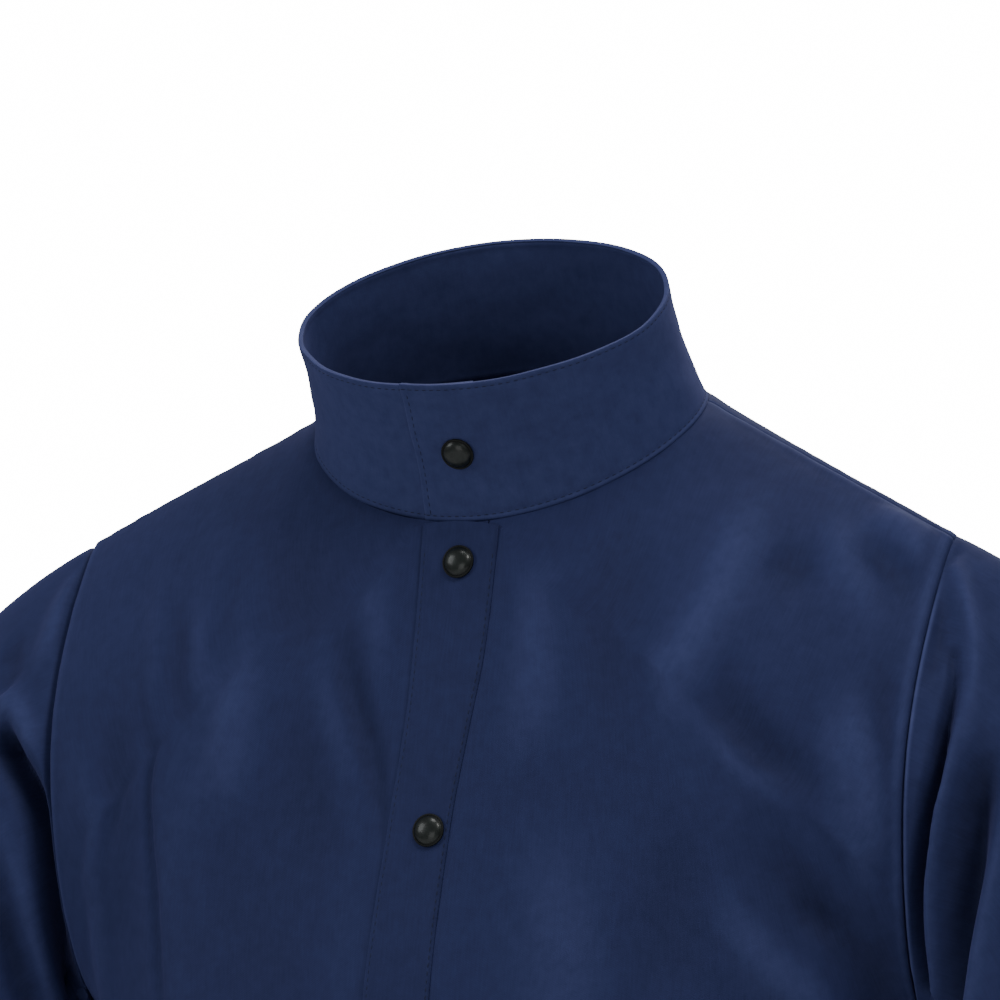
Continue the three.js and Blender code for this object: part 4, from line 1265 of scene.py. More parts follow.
@dataclass
class BodyPanels:
    """The two fronts and the back."""

    shape: JacketShape
    dresser: Dresser
    material: bpy.types.Material
    wall: float = 1.2
    hem: Hem = Hem()
    hem_rows: tuple[float, ...] = (-4, -2, -1, 0, 1, 2, 4)
    edge_rows: tuple[float, ...] = (0, 0.6, 1.5, 3, 6, 10, 15)
    sewn_under: float = 5.5
    least_past: float = 0.3
    shoulder_reach: float = 250
    row_pitch: float = 3.3
    chest_rows: int = 94
    columns: int = 112
    back_columns: int = 78
    flap_columns: int = 6
    meeting_gap: float = 0.6
    covered: float = 20
    lift: float = 1.5
    lift_wide: float = 26
    sunk: float = 1.7
    sunk_wide: float = 1.1
    lift_fade: float = 0.03
    ease_rounds: int = 260
    eased_inside: float = 30
    eased_side: float = 60
    eased_low: tuple[float, float] = (-0.25, 0.1)
    eased_high: tuple[float, float] = (0.02, 0.2)
    held_seam: tuple[float, float] = (1, 14)
    held_neck: tuple[float, float] = (2, 25)
    held_placket: float = 22
    held_valley: float = 16
    placket_fade: float = 14
    valley_fade: float = 10
    below_underarm_wear: float = 0.6
    grain: tuple[float, float] = (0.93, 0.35)
    neck_marks: tuple[Mark, ...] = (Mark(0.3, 0, 1.2), Mark(-0.35, 5, 4))
    neck_sweep: tuple[float, float, int] = (-100, 190, 300)
    back_middle: tuple[float, float] = (0.0, 3.0)
    hem_over: float = 0.5
    halvings: int = 30
    ripples: tuple[Ripple, ...] = (Ripple(0.6, 90, 1, 0.5), Ripple(0.2, 34, 1, 0.6))
    seam: Seam = Seam(groove=0.8, ridge=0.35)
    armholes: dict[str, Seam] = field(default_factory=lambda: {
        "front_left": Seam(groove=1.0, narrow=0.9, soft=0.3, ridge=0.2, line_wear=0.0),
        "front_right": Seam(groove=3.4, narrow=1.8, soft=0.3, ridge=0.5, line_wear=0.0),
        "back": Seam(groove=1.4, narrow=0.6, soft=0.3, ridge=0.5),
    })
    folds: dict[str, tuple[Fold, ...]] = field(default_factory=lambda: BODY_FOLDS)
    cuts: dict[str, Cut] = field(default_factory=lambda: {
        "front_left": Cut(0.30, 0.79, 0.19),
        "front_right": Cut(0.33, 0.79, 0.2),
        "back": Cut(0.60, 0.83, 0.4),
    })

    def heights(self) -> Array:
        """The rows of every panel, close together near the hem, its stitches and the shoulder."""
        skirt = self.shape.skirt
        low = sorted({*self.edge_rows, *(self.hem.depth + step for step in self.hem_rows)})
        bottom = np.array(low) / skirt - 1
        middle = np.linspace(bottom[-1], 0, round((skirt - low[-1]) / self.row_pitch))[1:]
        shares = (0.0, self.shape.front_neck_share, self.shape.back_neck_share, 1.0)
        chest = np.concatenate([
            np.linspace(start, end, round(self.chest_rows * (end - start)) + 1)[1:]
            for start, end in zip(shares, shares[1:])
        ])
        top = 1 - np.array(SEAM_STEPS)[::-1] / self.shoulder_reach
        chest = chest[chest < top[0] - 1 / self.shoulder_reach]
        return np.concatenate([bottom, middle, chest, top])

    def laid(self, side: Side, start: Array, near: Array, columns: int) -> Array:
        """The left half of the front or back without its folds, its rows evened out.

        Args:
            side: Front or back.
            start: How far from the middle each row starts, in mm.
            near: Distances from there in mm at which points lie, of all rows or of each.
            columns: How many even columns it has.

        Returns:
            The grid of points in mm.
        """
        heights = self.heights()

        def lines(share: Array) -> Array:
            """Points of every row at shares of the way across."""
            return self.shape.body_point(side, heights[:, None], share)

        share, place = sample(lines, self.across_at(side, heights, start), near, SEAM_STEPS, columns)
        points = lines(share)
        inner = points[..., 0] - (self.covered if side is Side.FRONT else 0)
        loose = smoothstep(inner, 0, self.eased_inside) * smoothstep(place, 0, self.eased_inside)
        loose = loose * smoothstep(place[:, -1:] - place, 0, self.eased_side)
        loose = loose * smoothstep(heights, *self.eased_low)[:, None]
        loose = loose * smoothstep(1 - heights, *self.eased_high)[:, None]
        return eased(points, loose, self.ease_rounds)

    def half(
        self, name: str, side: Side, start: Array, near: Array, columns: int, turn: float = 1.0
    ) -> Cloth:
        """The left half of the front or back, shaped.

        Args:
            name: Whose folds to use.
            side: Front or back.
            start: How far from the middle each row starts, in mm.
            near: Distances from there in mm at which points lie, of all rows or of each.
            columns: How many even columns it has.
            turn: -1 where the folds are those of negative places.

        Returns:
            The cloth.
        """
        heights = self.heights()
        front = side is Side.FRONT
        points = self.laid(side, start, near, columns)
        place, up = run_of(points, 1), run_of(points, 0)
        out, down = place + points[:, :1, 0], -points[..., 2]
        upwards, outwards = self.grain
        grain = points[..., 2] * upwards - side.value * points[..., 1] * outwards
        flat = np.stack([out, grain], axis=-1)
        cloth = Cloth(points, normals_of(points, upright(points, BODY_AXIS)), flat, 0 * out)
        to_side, to_neck = place[:, -1:] - place, self.neck_distance(points)
        to_shoulder = (1 - heights[:, None]) * self.shoulder_reach + 0 * place
        seed = sum(map(ord, name))
        folded = sum((fold.push(out * turn, down) for fold in self.folds[name]), 0 * out)
        for i, ripple in enumerate(self.ripples):
            folded = folded + ripple.push(out * turn, down, seed + i)
        free = smoothstep(to_side, *self.held_seam) * smoothstep(to_shoulder, *self.held_seam)
        free = free * smoothstep(to_neck, *self.held_neck)
        if front:
            valley = folded > 0
            under = self.held_placket
            if name == "front_right":
                under = np.where(valley, self.held_valley, under)
            fade = np.where(valley, self.valley_fade, self.placket_fade)
            free = free * smoothstep((points[..., 0] - under) / fade, 0, 1)
        folded = folded * free
        above = heights[:, None] > 0
        push = folded + np.where(
            above,
            self.armholes[name].push(to_side, up, True, seed + 2),
            self.seam.push(to_side, up, front, seed + 3),
        )
        push = push + self.seam.push(to_shoulder, place, front, seed + 4)
        push = push + sum(mark.push(to_neck) for mark in self.neck_marks)
        cloth.push(push + self.hem.push(up, place, seed + 5))
        # Painted shade in fold valleys and painted highlight on fold ridges, added to the real wear of seams
        # and hem.
        cloth.wear = painted_fold_light(folded) + np.maximum.reduce([
            self.armholes[name].wear(to_side, True) * np.where(above, 1, self.below_underarm_wear),
            self.seam.wear(to_shoulder, front),
            self.hem.wear(up),
        ])
        return cloth

    def neck_distance(self, points: Array) -> Array:
        """The distance of points from the neck seam, in mm."""
        seam = self.shape.neck_seam(np.linspace(*self.neck_sweep))
        nearest = np.full(points.shape[:-1], np.inf)
        for place in seam:
            nearest = np.minimum(nearest, np.linalg.norm(points - place, axis=-1))
        return nearest

    def across_at(self, side: Side, heights: Array, x: Array) -> Array:
        """How far across rows have to go to be a distance in mm from the middle."""
        low, high = np.zeros(heights.shape), np.ones(heights.shape)
        for _ in range(self.halvings):
            middle = (low + high) / 2
            short = self.shape.body_point(side, heights, middle)[..., 0] < np.abs(x)
            low, high = np.where(short, middle, low), np.where(short, high, middle)
        beyond = self.shape.row_start(side, heights)[0][..., 0] < np.abs(x)
        return np.sign(x) * low * beyond

    def under_edge(self, heights: Array) -> Array:
        """Where the fronts end under the placket, in mm to the wearer's left of the middle."""
        return self.shape.placket_x("sewn", heights) - self.sewn_under

    def in_hem(self, points: Array) -> Array:
        """1 where the cloth is turned up into the hem."""
        top = -self.shape.back_length + self.hem.depth + self.hem_over
        return (points[:, 2] < top).astype(float)

    def seams(self, cloths: dict[str, Cloth]) -> list[tuple[Array, Array]]:
        """The points and normals of the hem's stitches, short of the seams."""
        row = int(np.argmin(np.abs(self.heights() - (self.hem.depth / self.shape.skirt - 1))))
        ends = {"front_left": 4, "front_right": 4, "back": 0, "back_right": 0}
        return [cloths[name].line(row, slice(first, -3)) for name, first in ends.items()]

    def build(self) -> dict[str, Cloth]:
        """Makes the three panels.

        Returns:
            Their cloth by name, for the stitches.
        """
        shape = self.shape
        heights = self.heights()
        edge, middle = self.under_edge(heights), np.zeros(heights.shape)
        left = self.half("front_left", Side.FRONT, edge, np.array(EDGE_STEPS), self.columns)
        to_sewn = left.flat[..., 0] - shape.placket_x("sewn", heights)[:, None]
        below_neck = smoothstep(shape.front_neck_share - heights, 0, self.lift_fade)[:, None]
        lift = self.lift * bump(to_sewn, self.lift_wide) - self.sunk * bump(to_sewn, self.sunk_wide)
        left.push(-np.where(to_sewn > 0, lift, 0.0) * below_neck)
        neck = shape.row_start(Side.FRONT, heights)[0][:, 0]
        past = np.maximum(edge - self.meeting_gap - neck, self.least_past)
        near = np.linspace(0, 1, self.flap_columns) * past[:, None]
        right = self.half("front_right", Side.FRONT, middle, near, self.columns)
        flap = right.part(int(np.sum(past > self.least_past)) + 1, self.flap_columns)
        near = np.array(self.back_middle)
        back = self.half("back", Side.BACK, middle, near, self.back_columns)
        other = self.half("back", Side.BACK, middle, near, self.back_columns, -1.0).mirrored()
        made = {"front_left": [left], "front_right": [right.mirrored(), flap], "back": [back, other]}
        for name, grids in made.items():
            piece = self.dresser.cloth(
                name + "_cloth", grids, self.wall, self.material, doubled=self.in_hem
            )
            self.dresser.stand_for(piece, name, self.cuts[name])
        cloths = {name: grids[0] for name, grids in made.items()}
        return cloths | {"back_right": other}


@dataclass
class Sleeves:
    """The two set-in sleeves, with the folds that gather below the shoulder."""

    shape: JacketShape
    dresser: Dresser
    material: bpy.types.Material
    wall: float = 1.2
    hem: Hem = Hem(roll_at=13, pucker=0.3, pucker_length=20)
    cuff_steps: tuple[float, ...] = (0, 0.6, 1.5, 3, 6, 10, 15, 21, 23, 24, 25, 27)
    inner_steps: tuple[float, ...] = (0, 0.35, 0.9, 1.8, 3.2, 5.2)
    rows: int = 120
    close_pitch: float = 1.3
    close_along: float = 80
    close_from: float = 20
    close_to: float = 150
    line_pitch: tuple[float, float] = (1.8, 4.2)
    cap_round: float = 560
    held_cap: tuple[float, float] = (0.3, 5)
    held_inner: tuple[float, float] = (2, 30)
    held_cuff: tuple[float, float] = (4, 50)
    welt_from: tuple[float, float] = (22, 60)
    inner_wear: float = 0.6
    ripples: tuple[Ripple, ...] = (Ripple(0.6, 80, 0.7, 1), Ripple(0.2, 32))
    cut: Cut = Cut(0.46, 0.64, 0.215)
    seam: Seam = Seam(groove=0.8, ridge=0.35)
    armholes: dict[str, Seam] = field(default_factory=lambda: {
        "sleeve_left": Seam(groove=0.5, narrow=0.4, soft=-0.7, line_wear=1.0),
        "sleeve_right": Seam(groove=3.4, narrow=1.8, soft=0.3, line_wear=0.0),
    })
    folds: dict[str, tuple[Fold, ...]] = field(default_factory=lambda: SLEEVE_FOLDS)

    def one(self, name: str) -> Cloth:
        """A left-hand sleeve with the folds of the named one."""
        shape = self.shape
        per_mm = 360 / shape.arm_girth
        seam_steps = np.array(self.inner_steps) * per_mm
        fine, coarse = self.line_pitch
        front = np.arange(self.close_from, self.close_to, fine * per_mm)
        before = np.arange(-180 + seam_steps[-1], self.close_from, coarse * per_mm)[1:]
        after = np.arange(self.close_to, 180 - seam_steps[-1], coarse * per_mm)
        degrees = np.concatenate([-180 + seam_steps, before, front, after, 180 - seam_steps[::-1]])

        def lines(share: Array) -> Array:
            """Points of every line along the sleeve at shares of the way to the cuff."""
            return shape.sleeve_point(share, degrees[:, None])

        close = np.arange(SEAM_STEPS[-1] + self.close_pitch, self.close_along, self.close_pitch)
        whole = np.zeros(len(degrees))
        share, x = sample(lines, whole, SEAM_STEPS + tuple(close), self.cuff_steps, self.rows)
        points = lines(share)
        round_up = run_of(points, 0)
        y = round_up - round_up[np.argmin(np.abs(degrees))]
        to_cuff = x[:, -1:] - x
        to_inner = (180 - np.abs(degrees[:, None])) / 360 * shape.arm_girth + 0 * x
        around = degrees[:, None] / 360 * self.cap_round + 0 * x
        normals = normals_of(points, points.mean(axis=0, keepdims=True))
        cloth = Cloth(points, normals, np.stack([y, to_cuff], axis=-1), 0 * x)
        seed = sum(map(ord, name)) + 7
        folded = sum((fold.push(x, y) for fold in self.folds[name]), 0 * x)
        for i, ripple in enumerate(self.ripples):
            folded = folded + ripple.push(x, y, seed + i)
        free = smoothstep(x, *self.held_cap) * smoothstep(to_inner, *self.held_inner)
        folded = folded * free * smoothstep(to_cuff, *self.held_cuff)
        low = smoothstep(y, *self.welt_from) if name == "sleeve_left" else 1.0
        push = folded + self.armholes[name].push(x, around, False, seed + 2) * low
        push = push + self.seam.push(to_inner, x, True, seed + 3)
        cloth.push(push + self.hem.push(to_cuff, around, seed + 4))
        # Painted shade in fold valleys and painted highlight on fold ridges, added to the real wear of seams
        # and cuff.
        cloth.wear = painted_fold_light(folded) + np.maximum.reduce([
            self.armholes[name].wear(x, False) * low,
            self.seam.wear(to_inner, True) * self.inner_wear,
            self.hem.wear(to_cuff),
        ])
        return cloth

    def seams(self, cloths: dict[str, Cloth]) -> list[tuple[Array, Array]]:
        """The points and normals of both cuffs' stitches."""
        column = -1 - self.cuff_steps.index(self.hem.depth)
        return [cloths[name].line(slice(None), column) for name in ("sleeve_left", "sleeve_right")]

    def build(self) -> dict[str, Cloth]:
        """Makes both sleeves and returns their cloth by name."""
        right = self.one("sleeve_right").mirrored()
        made = {"sleeve_left": self.one("sleeve_left"), "sleeve_right": right}
        for name, grid in made.items():
            piece = self.dresser.cloth(name + "_cloth", [grid], self.wall, self.material)
            self.dresser.stand_for(piece, name, self.cut)
        return made


@dataclass
class Collar:
    """The stand-up band, whose left end laps over its right one."""

    shape: JacketShape
    dresser: Dresser
    material: bpy.types.Material
    wall: float = 2.2
    gap: float = 0.3
    ease: float = 25
    clear: float = 4
    stitch_in: float = 2.4
    end_stitch_in: float = 2.6
    edge_rows: tuple[float, ...] = (0, 0.5, 1.1, 1.8, 2.4, 3.1, 4.2, 6)
    rows: int = 18
    columns: int = 190
    wave: Ripple = Ripple(0.45, 52, 1, 1.5)
    wave_from: tuple[float, float] = (2, 16)
    ripple: Ripple = Ripple(0.2, 20)
    foot_marks: tuple[Mark, ...] = (Mark(0.35, 2.4, 0.9), Mark(-0.3, 0.6, 1.2))
    top_marks: tuple[Mark, ...] = (Mark(0.3, 2.4, 0.9), Mark(0.5, 0, 0.8))
    end_marks: tuple[Mark, ...] = (Mark(0.35, 2.4, 0.9), Mark(0.5, 0, 0.8))
    top_wear: Mark = Mark(0.6, 0, 1.4)
    end_wear: Mark = Mark(0.7, 0, 1.2)
    # Painted shade along the foot of the band, where it meets the neck.
    foot_painted_shade: Mark = Mark(0.45, 0, 1.0)
    # Painted highlight: the whole band made evenly lighter, standing for light from low in front.
    even_tone_shift: float = 0.5
    edge: float = 0.5
    cut: Cut = Cut(0.53, 0.07, 0.0345)

    def past(self, x: float) -> float:
        """The degrees round the neck of a place to one side of its middle, in mm."""
        return math.degrees(math.asin(x / (self.shape.neck_width / 2)))

    def look(self, cloth: Cloth) -> None:
        """Draws in the stitches and edges of the band, waves it, rubs its edges, lightens it all over as
        painted highlight and darkens its foot as painted shade.
        """
        around, climb = cloth.flat[..., 0], cloth.flat[..., 1]
        to_top = self.shape.collar_height - climb
        push = self.wave.push(around, climb, 11) * smoothstep(climb, *self.wave_from)
        push = push + self.ripple.push(around, climb, 12)
        marks = ((climb, self.foot_marks), (to_top, self.top_marks), (around, self.end_marks))
        for distance, these in marks:
            push = push + sum(mark.push(distance) for mark in these)
        cloth.push(push)
        rubbed = np.maximum(self.top_wear.push(to_top), self.end_wear.push(around))
        # Rubbed top and end edges, painted highlight over the whole band and painted shade at its foot.
        cloth.wear = np.maximum(rubbed, self.even_tone_shift) - self.foot_painted_shade.push(climb)

    def seams(self, cloth: Cloth) -> list[tuple[Array, Array]]:
        """The points and normals of the stitches along both edges and the free end."""
        column = self.edge_rows.index(self.stitch_in)
        row = EDGE_STEPS.index(self.end_stitch_in)
        edges = [cloth.line(slice(None), at) for at in (column, -1 - column)]
        return [*edges, cloth.line(row, slice(column, -column))]

    def build(self) -> Cloth:
        """Makes the collar and returns its cloth."""
        shape = self.shape
        free = float(-shape.placket_width * shape.placket_line.columns["free"][0])
        start, end = -90 - self.past(free), 270 + self.past(shape.collar_underlap)
        per_mm = 360 / (math.pi * (shape.neck_width + shape.neck_depth) / 2)
        near = np.array(EDGE_STEPS) * per_mm
        middle = np.linspace(start + near[-1], end - near[-1], self.columns)[1:-1]
        degrees = np.concatenate([start + near, middle, end - near[::-1]])[:, None]
        low = np.array(self.edge_rows) / shape.collar_height
        middle = np.linspace(low[-1], 1 - low[-1], self.rows)[1:-1]
        up = np.concatenate([low, middle, 1 - low[::-1]])[None]
        lap = 270 - self.past(self.clear + free)
        inwards = smoothstep(degrees, lap - self.ease, lap) * (self.wall + self.gap)
        points = shape.collar_point(degrees + 0 * up, up + 0 * degrees, inwards + 0 * up)
        normals = normals_of(points, upright(points, points[..., 1].mean()))
        around = (degrees - start) / per_mm + 0 * up
        climb = up * shape.collar_height + 0 * degrees
        cloth = Cloth(points, normals, np.stack([around, climb], axis=-1), 0 * climb)
        self.look(cloth)
        piece = self.dresser.cloth("collar_cloth", [cloth], self.wall, self.material, self.edge)
        self.dresser.stand_for(piece, "collar", self.cut)
        return cloth


@dataclass
class Placket:
    """The strip over the left front's free edge."""

    shape: JacketShape
    panels: BodyPanels
    dresser: Dresser
    material: bpy.types.Material
    wall: float = 1.5
    gap: float = 0.3
    stitch_in: float = 1.8
    sewn_stitch_in: float = 1.4
    edge_columns: tuple[float, ...] = (0, 0.4, 0.9, 1.4, 1.8, 2.4, 3.6)
    columns: int = 11
    top_clear: float = 0.002
    wave: Ripple = Ripple(0.2, 46, 1.5, 1)
    wave_from: tuple[float, float] = (1, 8)
    pucker: Ripple = Ripple(0.2, 15)
    pucker_wide: float = 4
    free_marks: tuple[Mark, ...] = (Mark(0.5, 0, 0.7), Mark(0.3, 1.8, 0.8))
    sewn_mark: Mark = Mark(0.8, 0, 0.9)
    hem_mark: Mark = Mark(0.4, 24, 1.3)
    free_wear: Mark = Mark(0.15, 0, 1.1)
    # Painted shade along the sewn edge.
    sewn_painted_shade: Mark = Mark(0.15, 0, 2)
    # The whole strip a little darker, evenly.
    even_tone_shift: float = -0.12
    edge: float = 0.4
    cut: Cut = Cut(0.038, 0.71, 0.0235)

    def look(self, cloth: Cloth, to_free: Array, to_sewn: Array) -> None:
        """Raises the strip off the front, draws in its stitches and edges, rubs its free edge, darkens its
        sewn edge as painted shade and makes it all a little darker.

        Args:
            cloth: The strip on the front's own surface.
            to_free: The distance from its free edge, in mm.
            to_sewn: The distance from its sewn edge, in mm.
        """
        x, up = cloth.flat[..., 0], cloth.flat[..., 1]
        push = -(self.gap + self.wall) + 0 * x
        push = push + sum(mark.push(to_free) for mark in self.free_marks)
        push = push + self.sewn_mark.push(to_sewn)
        push = push + self.wave.push(x, up, 21) * smoothstep(to_sewn, *self.wave_from)
        push = push + self.pucker.push(up, 0 * up, 22) * bump(to_sewn, self.pucker_wide)
        cloth.push(push + self.hem_mark.push(up))
        # Rubbed free edge, painted shade along the sewn edge, and the whole strip a little darker.
        cloth.wear = self.free_wear.push(to_free) - self.sewn_painted_shade.push(to_sewn) + self.even_tone_shift

    def seams(self, cloth: Cloth) -> list[tuple[Array, Array]]:
        """The points and normals of the stitches down both edges."""
        free = self.edge_columns.index(self.stitch_in)
        sewn = -1 - self.edge_columns.index(self.sewn_stitch_in)
        return [cloth.line(slice(2, -2), column) for column in (free, sewn)]

    def build(self) -> Cloth:
        """Makes the placket and returns its cloth."""
        shape, top = self.shape, self.shape.front_neck_share
        heights = self.panels.heights()
        heights = np.append(heights[heights < top - self.top_clear], top)
        free, sewn = (shape.placket_x(name, heights)[:, None] for name in ("free", "sewn"))
        near = np.array(self.edge_columns)
        width = sewn - free
        share = np.linspace(0, 1, self.columns)[None, 1:-1]
        middle = near[-1] + (width - 2 * near[-1]) * share
        x = free + np.concatenate([near + 0 * width, middle, width - near[::-1]], axis=1)
        across = np.stack([
            self.panels.across_at(Side.FRONT, heights, column) for column in x.T
        ], axis=1)
        points = shape.body_point(Side.FRONT, heights[:, None], across)
        normals = normals_of(points, upright(points, BODY_AXIS))
        cloth = Cloth(points, normals, np.stack([x, run_of(points, 0)], axis=-1), 0 * x)
        self.look(cloth, x - free, sewn - x)
        piece = self.dresser.cloth("placket_cloth", [cloth], self.wall, self.material, self.edge)
        self.dresser.stand_for(piece, "placket", self.cut)
        return cloth


@dataclass
class Snaps:
    """Domed caps, each placed on the cap of the frame that it stands for."""

    dresser: Dresser
    material: bpy.types.Material
    count: int = 7
    diameter: float = 15.2
    height: float = 3.4
    post: float = 4
    post_length: float = 4
    crown: float = 0.86
    crown_fade: float = 0.06
    rim_from: float = 0.97
    corners: int = 40

    def profile(self) -> list[tuple[float, float]]:
        """Radius and height of each ring, from the foot of the post to the crown."""
        r, h = self.diameter / 2, self.height
        return [
            (self.post / 2, -self.post_length), (self.post / 2, -0.8), (r - 0.7, -0.8),
            (r - 0.15, 0.0), (r, 0.45), (r - 0.12, 0.8), (r - 0.45, 1.0), (r - 0.8, 1.0),
            (r - 0.98, 0.86), (r - 1.15, 0.95), (0.8 * r, 0.47 * h), (0.72 * r, 0.62 * h),
            (0.6 * r, 0.77 * h), (0.45 * r, 0.89 * h), (0.3 * r, 0.96 * h), (0.15 * r, 0.99 * h),
            (0.05 * r, h), (0.01 * r, h),
        ]

    def build(self) -> None:
        """Makes the caps and dresses the hidden studs."""
        cap = self.dresser.turned("snap_cap", self.profile(), self.corners, self.material)
        for i in range(1, self.count + 1):
            place = self.place_of(bpy.data.objects[f"snap_cap_{i}"])
            copy = cap.copy()
            copy.data = cap.data.copy()
            copy.name = copy.data.name = f"snap_dome_{i}"
            bpy.context.collection.objects.link(copy)
            self.wear(copy.data)
            copy.data.transform(place)
            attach(copy, "root")
            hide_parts(f"snap_cap_{i}")
            stud = bpy.data.objects[f"snap_stud_{i}"]
            stud.data.materials.clear()
            stud.data.materials.append(self.material)
        bpy.data.objects.remove(cap, do_unlink=True)
        log.info("snaps: %d", self.count)

    def wear(self, mesh: bpy.types.Mesh) -> None:
        """Marks the crown as worn and the rim as not, before the cap is placed."""
        corners = np.array([v.co for v in mesh.vertices]) / MM
        out = np.hypot(corners[:, 0], corners[:, 1]) / (self.diameter / 2)
        crown = 1 - smoothstep(out, self.crown - self.crown_fade, self.crown)
        worn = mesh.attributes.new("wear", "FLOAT", "POINT")
        worn.data.foreach_set("value", crown.astype(np.float32))

    def place_of(self, node: bpy.types.Object) -> Matrix:
        """The turn and place of a cap of the frame, found from its widest corners.

        Args:
            node: The frame's cap.

        Returns:
            The matrix that brings a cap about +Z there.
        """
        corners = np.array([node.matrix_world @ v.co for v in node.data.vertices])
        centre = corners.mean(axis=0)
        wide = np.linalg.norm(corners - centre, axis=1)
        rim = corners[wide > self.rim_from * wide.max()]
        middle = rim.mean(axis=0)
        axis = np.linalg.svd(rim - middle)[2][2]
        axis = axis * (1 if axis[1] < 0 else -1)
        heights = (corners - middle) @ axis
        seat = middle + axis * (heights.max() - self.height * MM)
        turn = Vector(axis).to_track_quat("Z", "Y").to_matrix().to_4x4()
        return Matrix.Translation(Vector(seat)) @ turn


@dataclass(frozen=True)
class Lamp:
    """A soft square light: its place and side in metres, its power in watts and its colour."""

    name: str
    place: tuple[float, float, float]
    side: float
    power: float
    colour: tuple[float, float, float] = (1, 1, 1)

    def build(self, aim: Vector) -> None:
        """Adds the light, turned to a point."""
        data = bpy.data.lights.new(self.name, "AREA")
        data.size, data.energy, data.color = self.side, self.power, self.colour
        made = bpy.data.objects.new(self.name, data)
        place = Vector(self.place)
        turn = (aim - place).to_track_quat("-Z", "Y").to_matrix().to_4x4()
        made.matrix_world = Matrix.Translation(place) @ turn
        bpy.context.collection.objects.link(made)


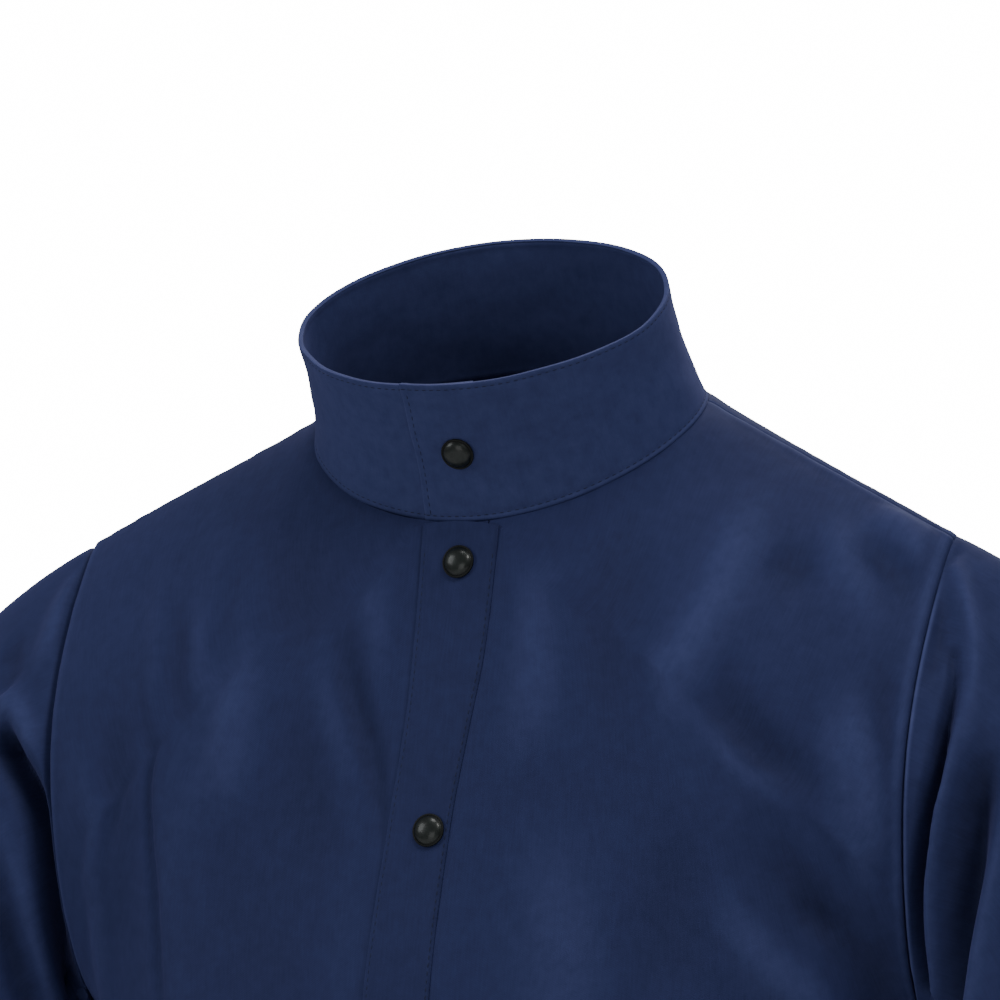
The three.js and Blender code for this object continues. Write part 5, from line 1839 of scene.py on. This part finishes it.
@dataclass
class Studio:
    """The floor, lights, surroundings and camera."""

    yaw: float = 23.5
    elevation: float = 1.2
    roll: float = 1.4
    distance: float = 2.757
    pixels_per_mm: float = 2.17
    frame_pixels: int = 1000
    sensor: float = 36
    target: tuple[float, float, float] = (0.0, -0.058, -0.037)
    target_pixel: tuple[float, float] = (515.2, 452.9)
    floor_drop: float = 1.1
    floor_size: float = 10
    floor_tones: tuple[float, float] = (0.80, 0.84)
    backdrop: float = 16.0
    surround: float = 0.18
    surround_colour: tuple[float, float, float, float] = (0.92, 0.96, 1.0, 1)
    aim: tuple[float, float, float] = (0, -0.06, -0.2)
    lamps: tuple[Lamp, ...] = (
        Lamp("key", (2.0, -1.0, 2.0), 0.9, 50, (1, 0.99, 0.97)),
        Lamp("top", (0.2, -0.7, 2.6), 1.0, 34),
        Lamp("fill", (-1.9, -1.7, 1.0), 1.3, 28, (0.96, 0.98, 1)),
        Lamp("front", (0.4, -2.8, -0.2), 1.4, 14),
        Lamp("rim", (0.0, 2.0, 1.8), 1.6, 45),
    )

    def camera(self) -> None:
        """Places the camera at the photograph's viewing angle."""
        t, p, r = (math.radians(x) for x in (self.yaw, self.elevation, self.roll))
        ahead = Vector((-math.sin(t) * math.cos(p), math.cos(t) * math.cos(p), -math.sin(p)))
        right = Vector((math.cos(t), math.sin(t), 0))
        up = Vector((-math.sin(t) * math.sin(p), math.cos(t) * math.sin(p), math.cos(p)))
        right, up = math.cos(r) * right - math.sin(r) * up, math.sin(r) * right + math.cos(r) * up
        data = bpy.data.cameras.new("camera")
        data.sensor_width = self.sensor
        focal = self.pixels_per_mm / MM * self.distance / self.frame_pixels
        data.lens = focal * self.sensor
        middle = self.frame_pixels / 2
        data.shift_x = (middle - self.target_pixel[0]) / self.frame_pixels
        data.shift_y = (self.target_pixel[1] - middle) / self.frame_pixels
        data.clip_start, data.clip_end = 0.01, 100
        made = bpy.data.objects.new("camera", data)
        turn = Matrix((right, up, -ahead)).transposed().to_4x4()
        made.matrix_world = Matrix.Translation(Vector(self.target) - self.distance * ahead) @ turn
        bpy.context.collection.objects.link(made)
        bpy.context.scene.camera = made

    def surroundings(self) -> None:
        """A white backdrop behind, which lights the jacket less than it shows."""
        world = bpy.data.worlds.new("studio")
        bpy.context.scene.world = world
        world.use_nodes = True
        tree = world.node_tree
        tree.nodes.clear()
        output = tree.nodes.new("ShaderNodeOutputWorld")
        shown, lit = (tree.nodes.new("ShaderNodeBackground") for _ in range(2))
        shown.inputs["Color"].default_value = (1, 1, 1, 1)
        shown.inputs["Strength"].default_value = self.backdrop
        lit.inputs["Color"].default_value = self.surround_colour
        lit.inputs["Strength"].default_value = self.surround
        path = tree.nodes.new("ShaderNodeLightPath")
        mix = tree.nodes.new("ShaderNodeMixShader")
        tree.links.new(path.outputs["Is Camera Ray"], mix.inputs[0])
        tree.links.new(lit.outputs[0], mix.inputs[1])
        tree.links.new(shown.outputs[0], mix.inputs[2])
        tree.links.new(mix.outputs[0], output.inputs["Surface"])

    def floor(self) -> None:
        """A pale floor under the jacket."""
        Dresser.deselect()
        bpy.ops.mesh.primitive_plane_add(size=self.floor_size, location=(0, 0, -self.floor_drop))
        made = bpy.context.object
        bpy.ops.object.transform_apply(location=True)
        made.name = "floor"
        paint = Nodes("pale_floor")
        place = paint.node("ShaderNodeTexCoord", {}, {}, "Object")
        tone = paint.noise(place, 3.0)
        colour = paint.mix(tone, *((grey, grey, grey, 1) for grey in self.floor_tones))
        made.data.materials.append(paint.surface(base_color=colour, roughness=0.7))
        Dresser.deselect()

    def build(self) -> None:
        """Sets everything up."""
        self.camera()
        self.surroundings()
        self.floor()
        for lamp in self.lamps:
            lamp.build(Vector(self.aim))
        log.info("studio ready")


def main() -> None:
    """Builds the jacket piece by piece over its frame."""
    logging.basicConfig(level=logging.INFO, format="%(name)s: %(message)s", stream=sys.stdout)
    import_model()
    Studio().build()
    cotton, thread, brass = CottonFinish().build(), ThreadFinish().build(), SnapFinish().build()
    shape, dresser = JacketShape(), Dresser()
    panels, sleeves = BodyPanels(shape, dresser, cotton), Sleeves(shape, dresser, cotton)
    collar, placket = Collar(shape, dresser, cotton), Placket(shape, panels, dresser, cotton)
    body, arms, band, strip = panels.build(), sleeves.build(), collar.build(), placket.build()
    Snaps(dresser, brass).build()
    stitching = Stitching(dresser, thread)
    stitching.sew("collar_stitches", collar.seams(band))
    stitching.sew("placket_stitches", placket.seams(strip))
    stitching.sew("hem_stitches", panels.seams(body))
    stitching.sew("cuff_stitches", sleeves.seams(arms))


if __name__ == "__main__":
    main()
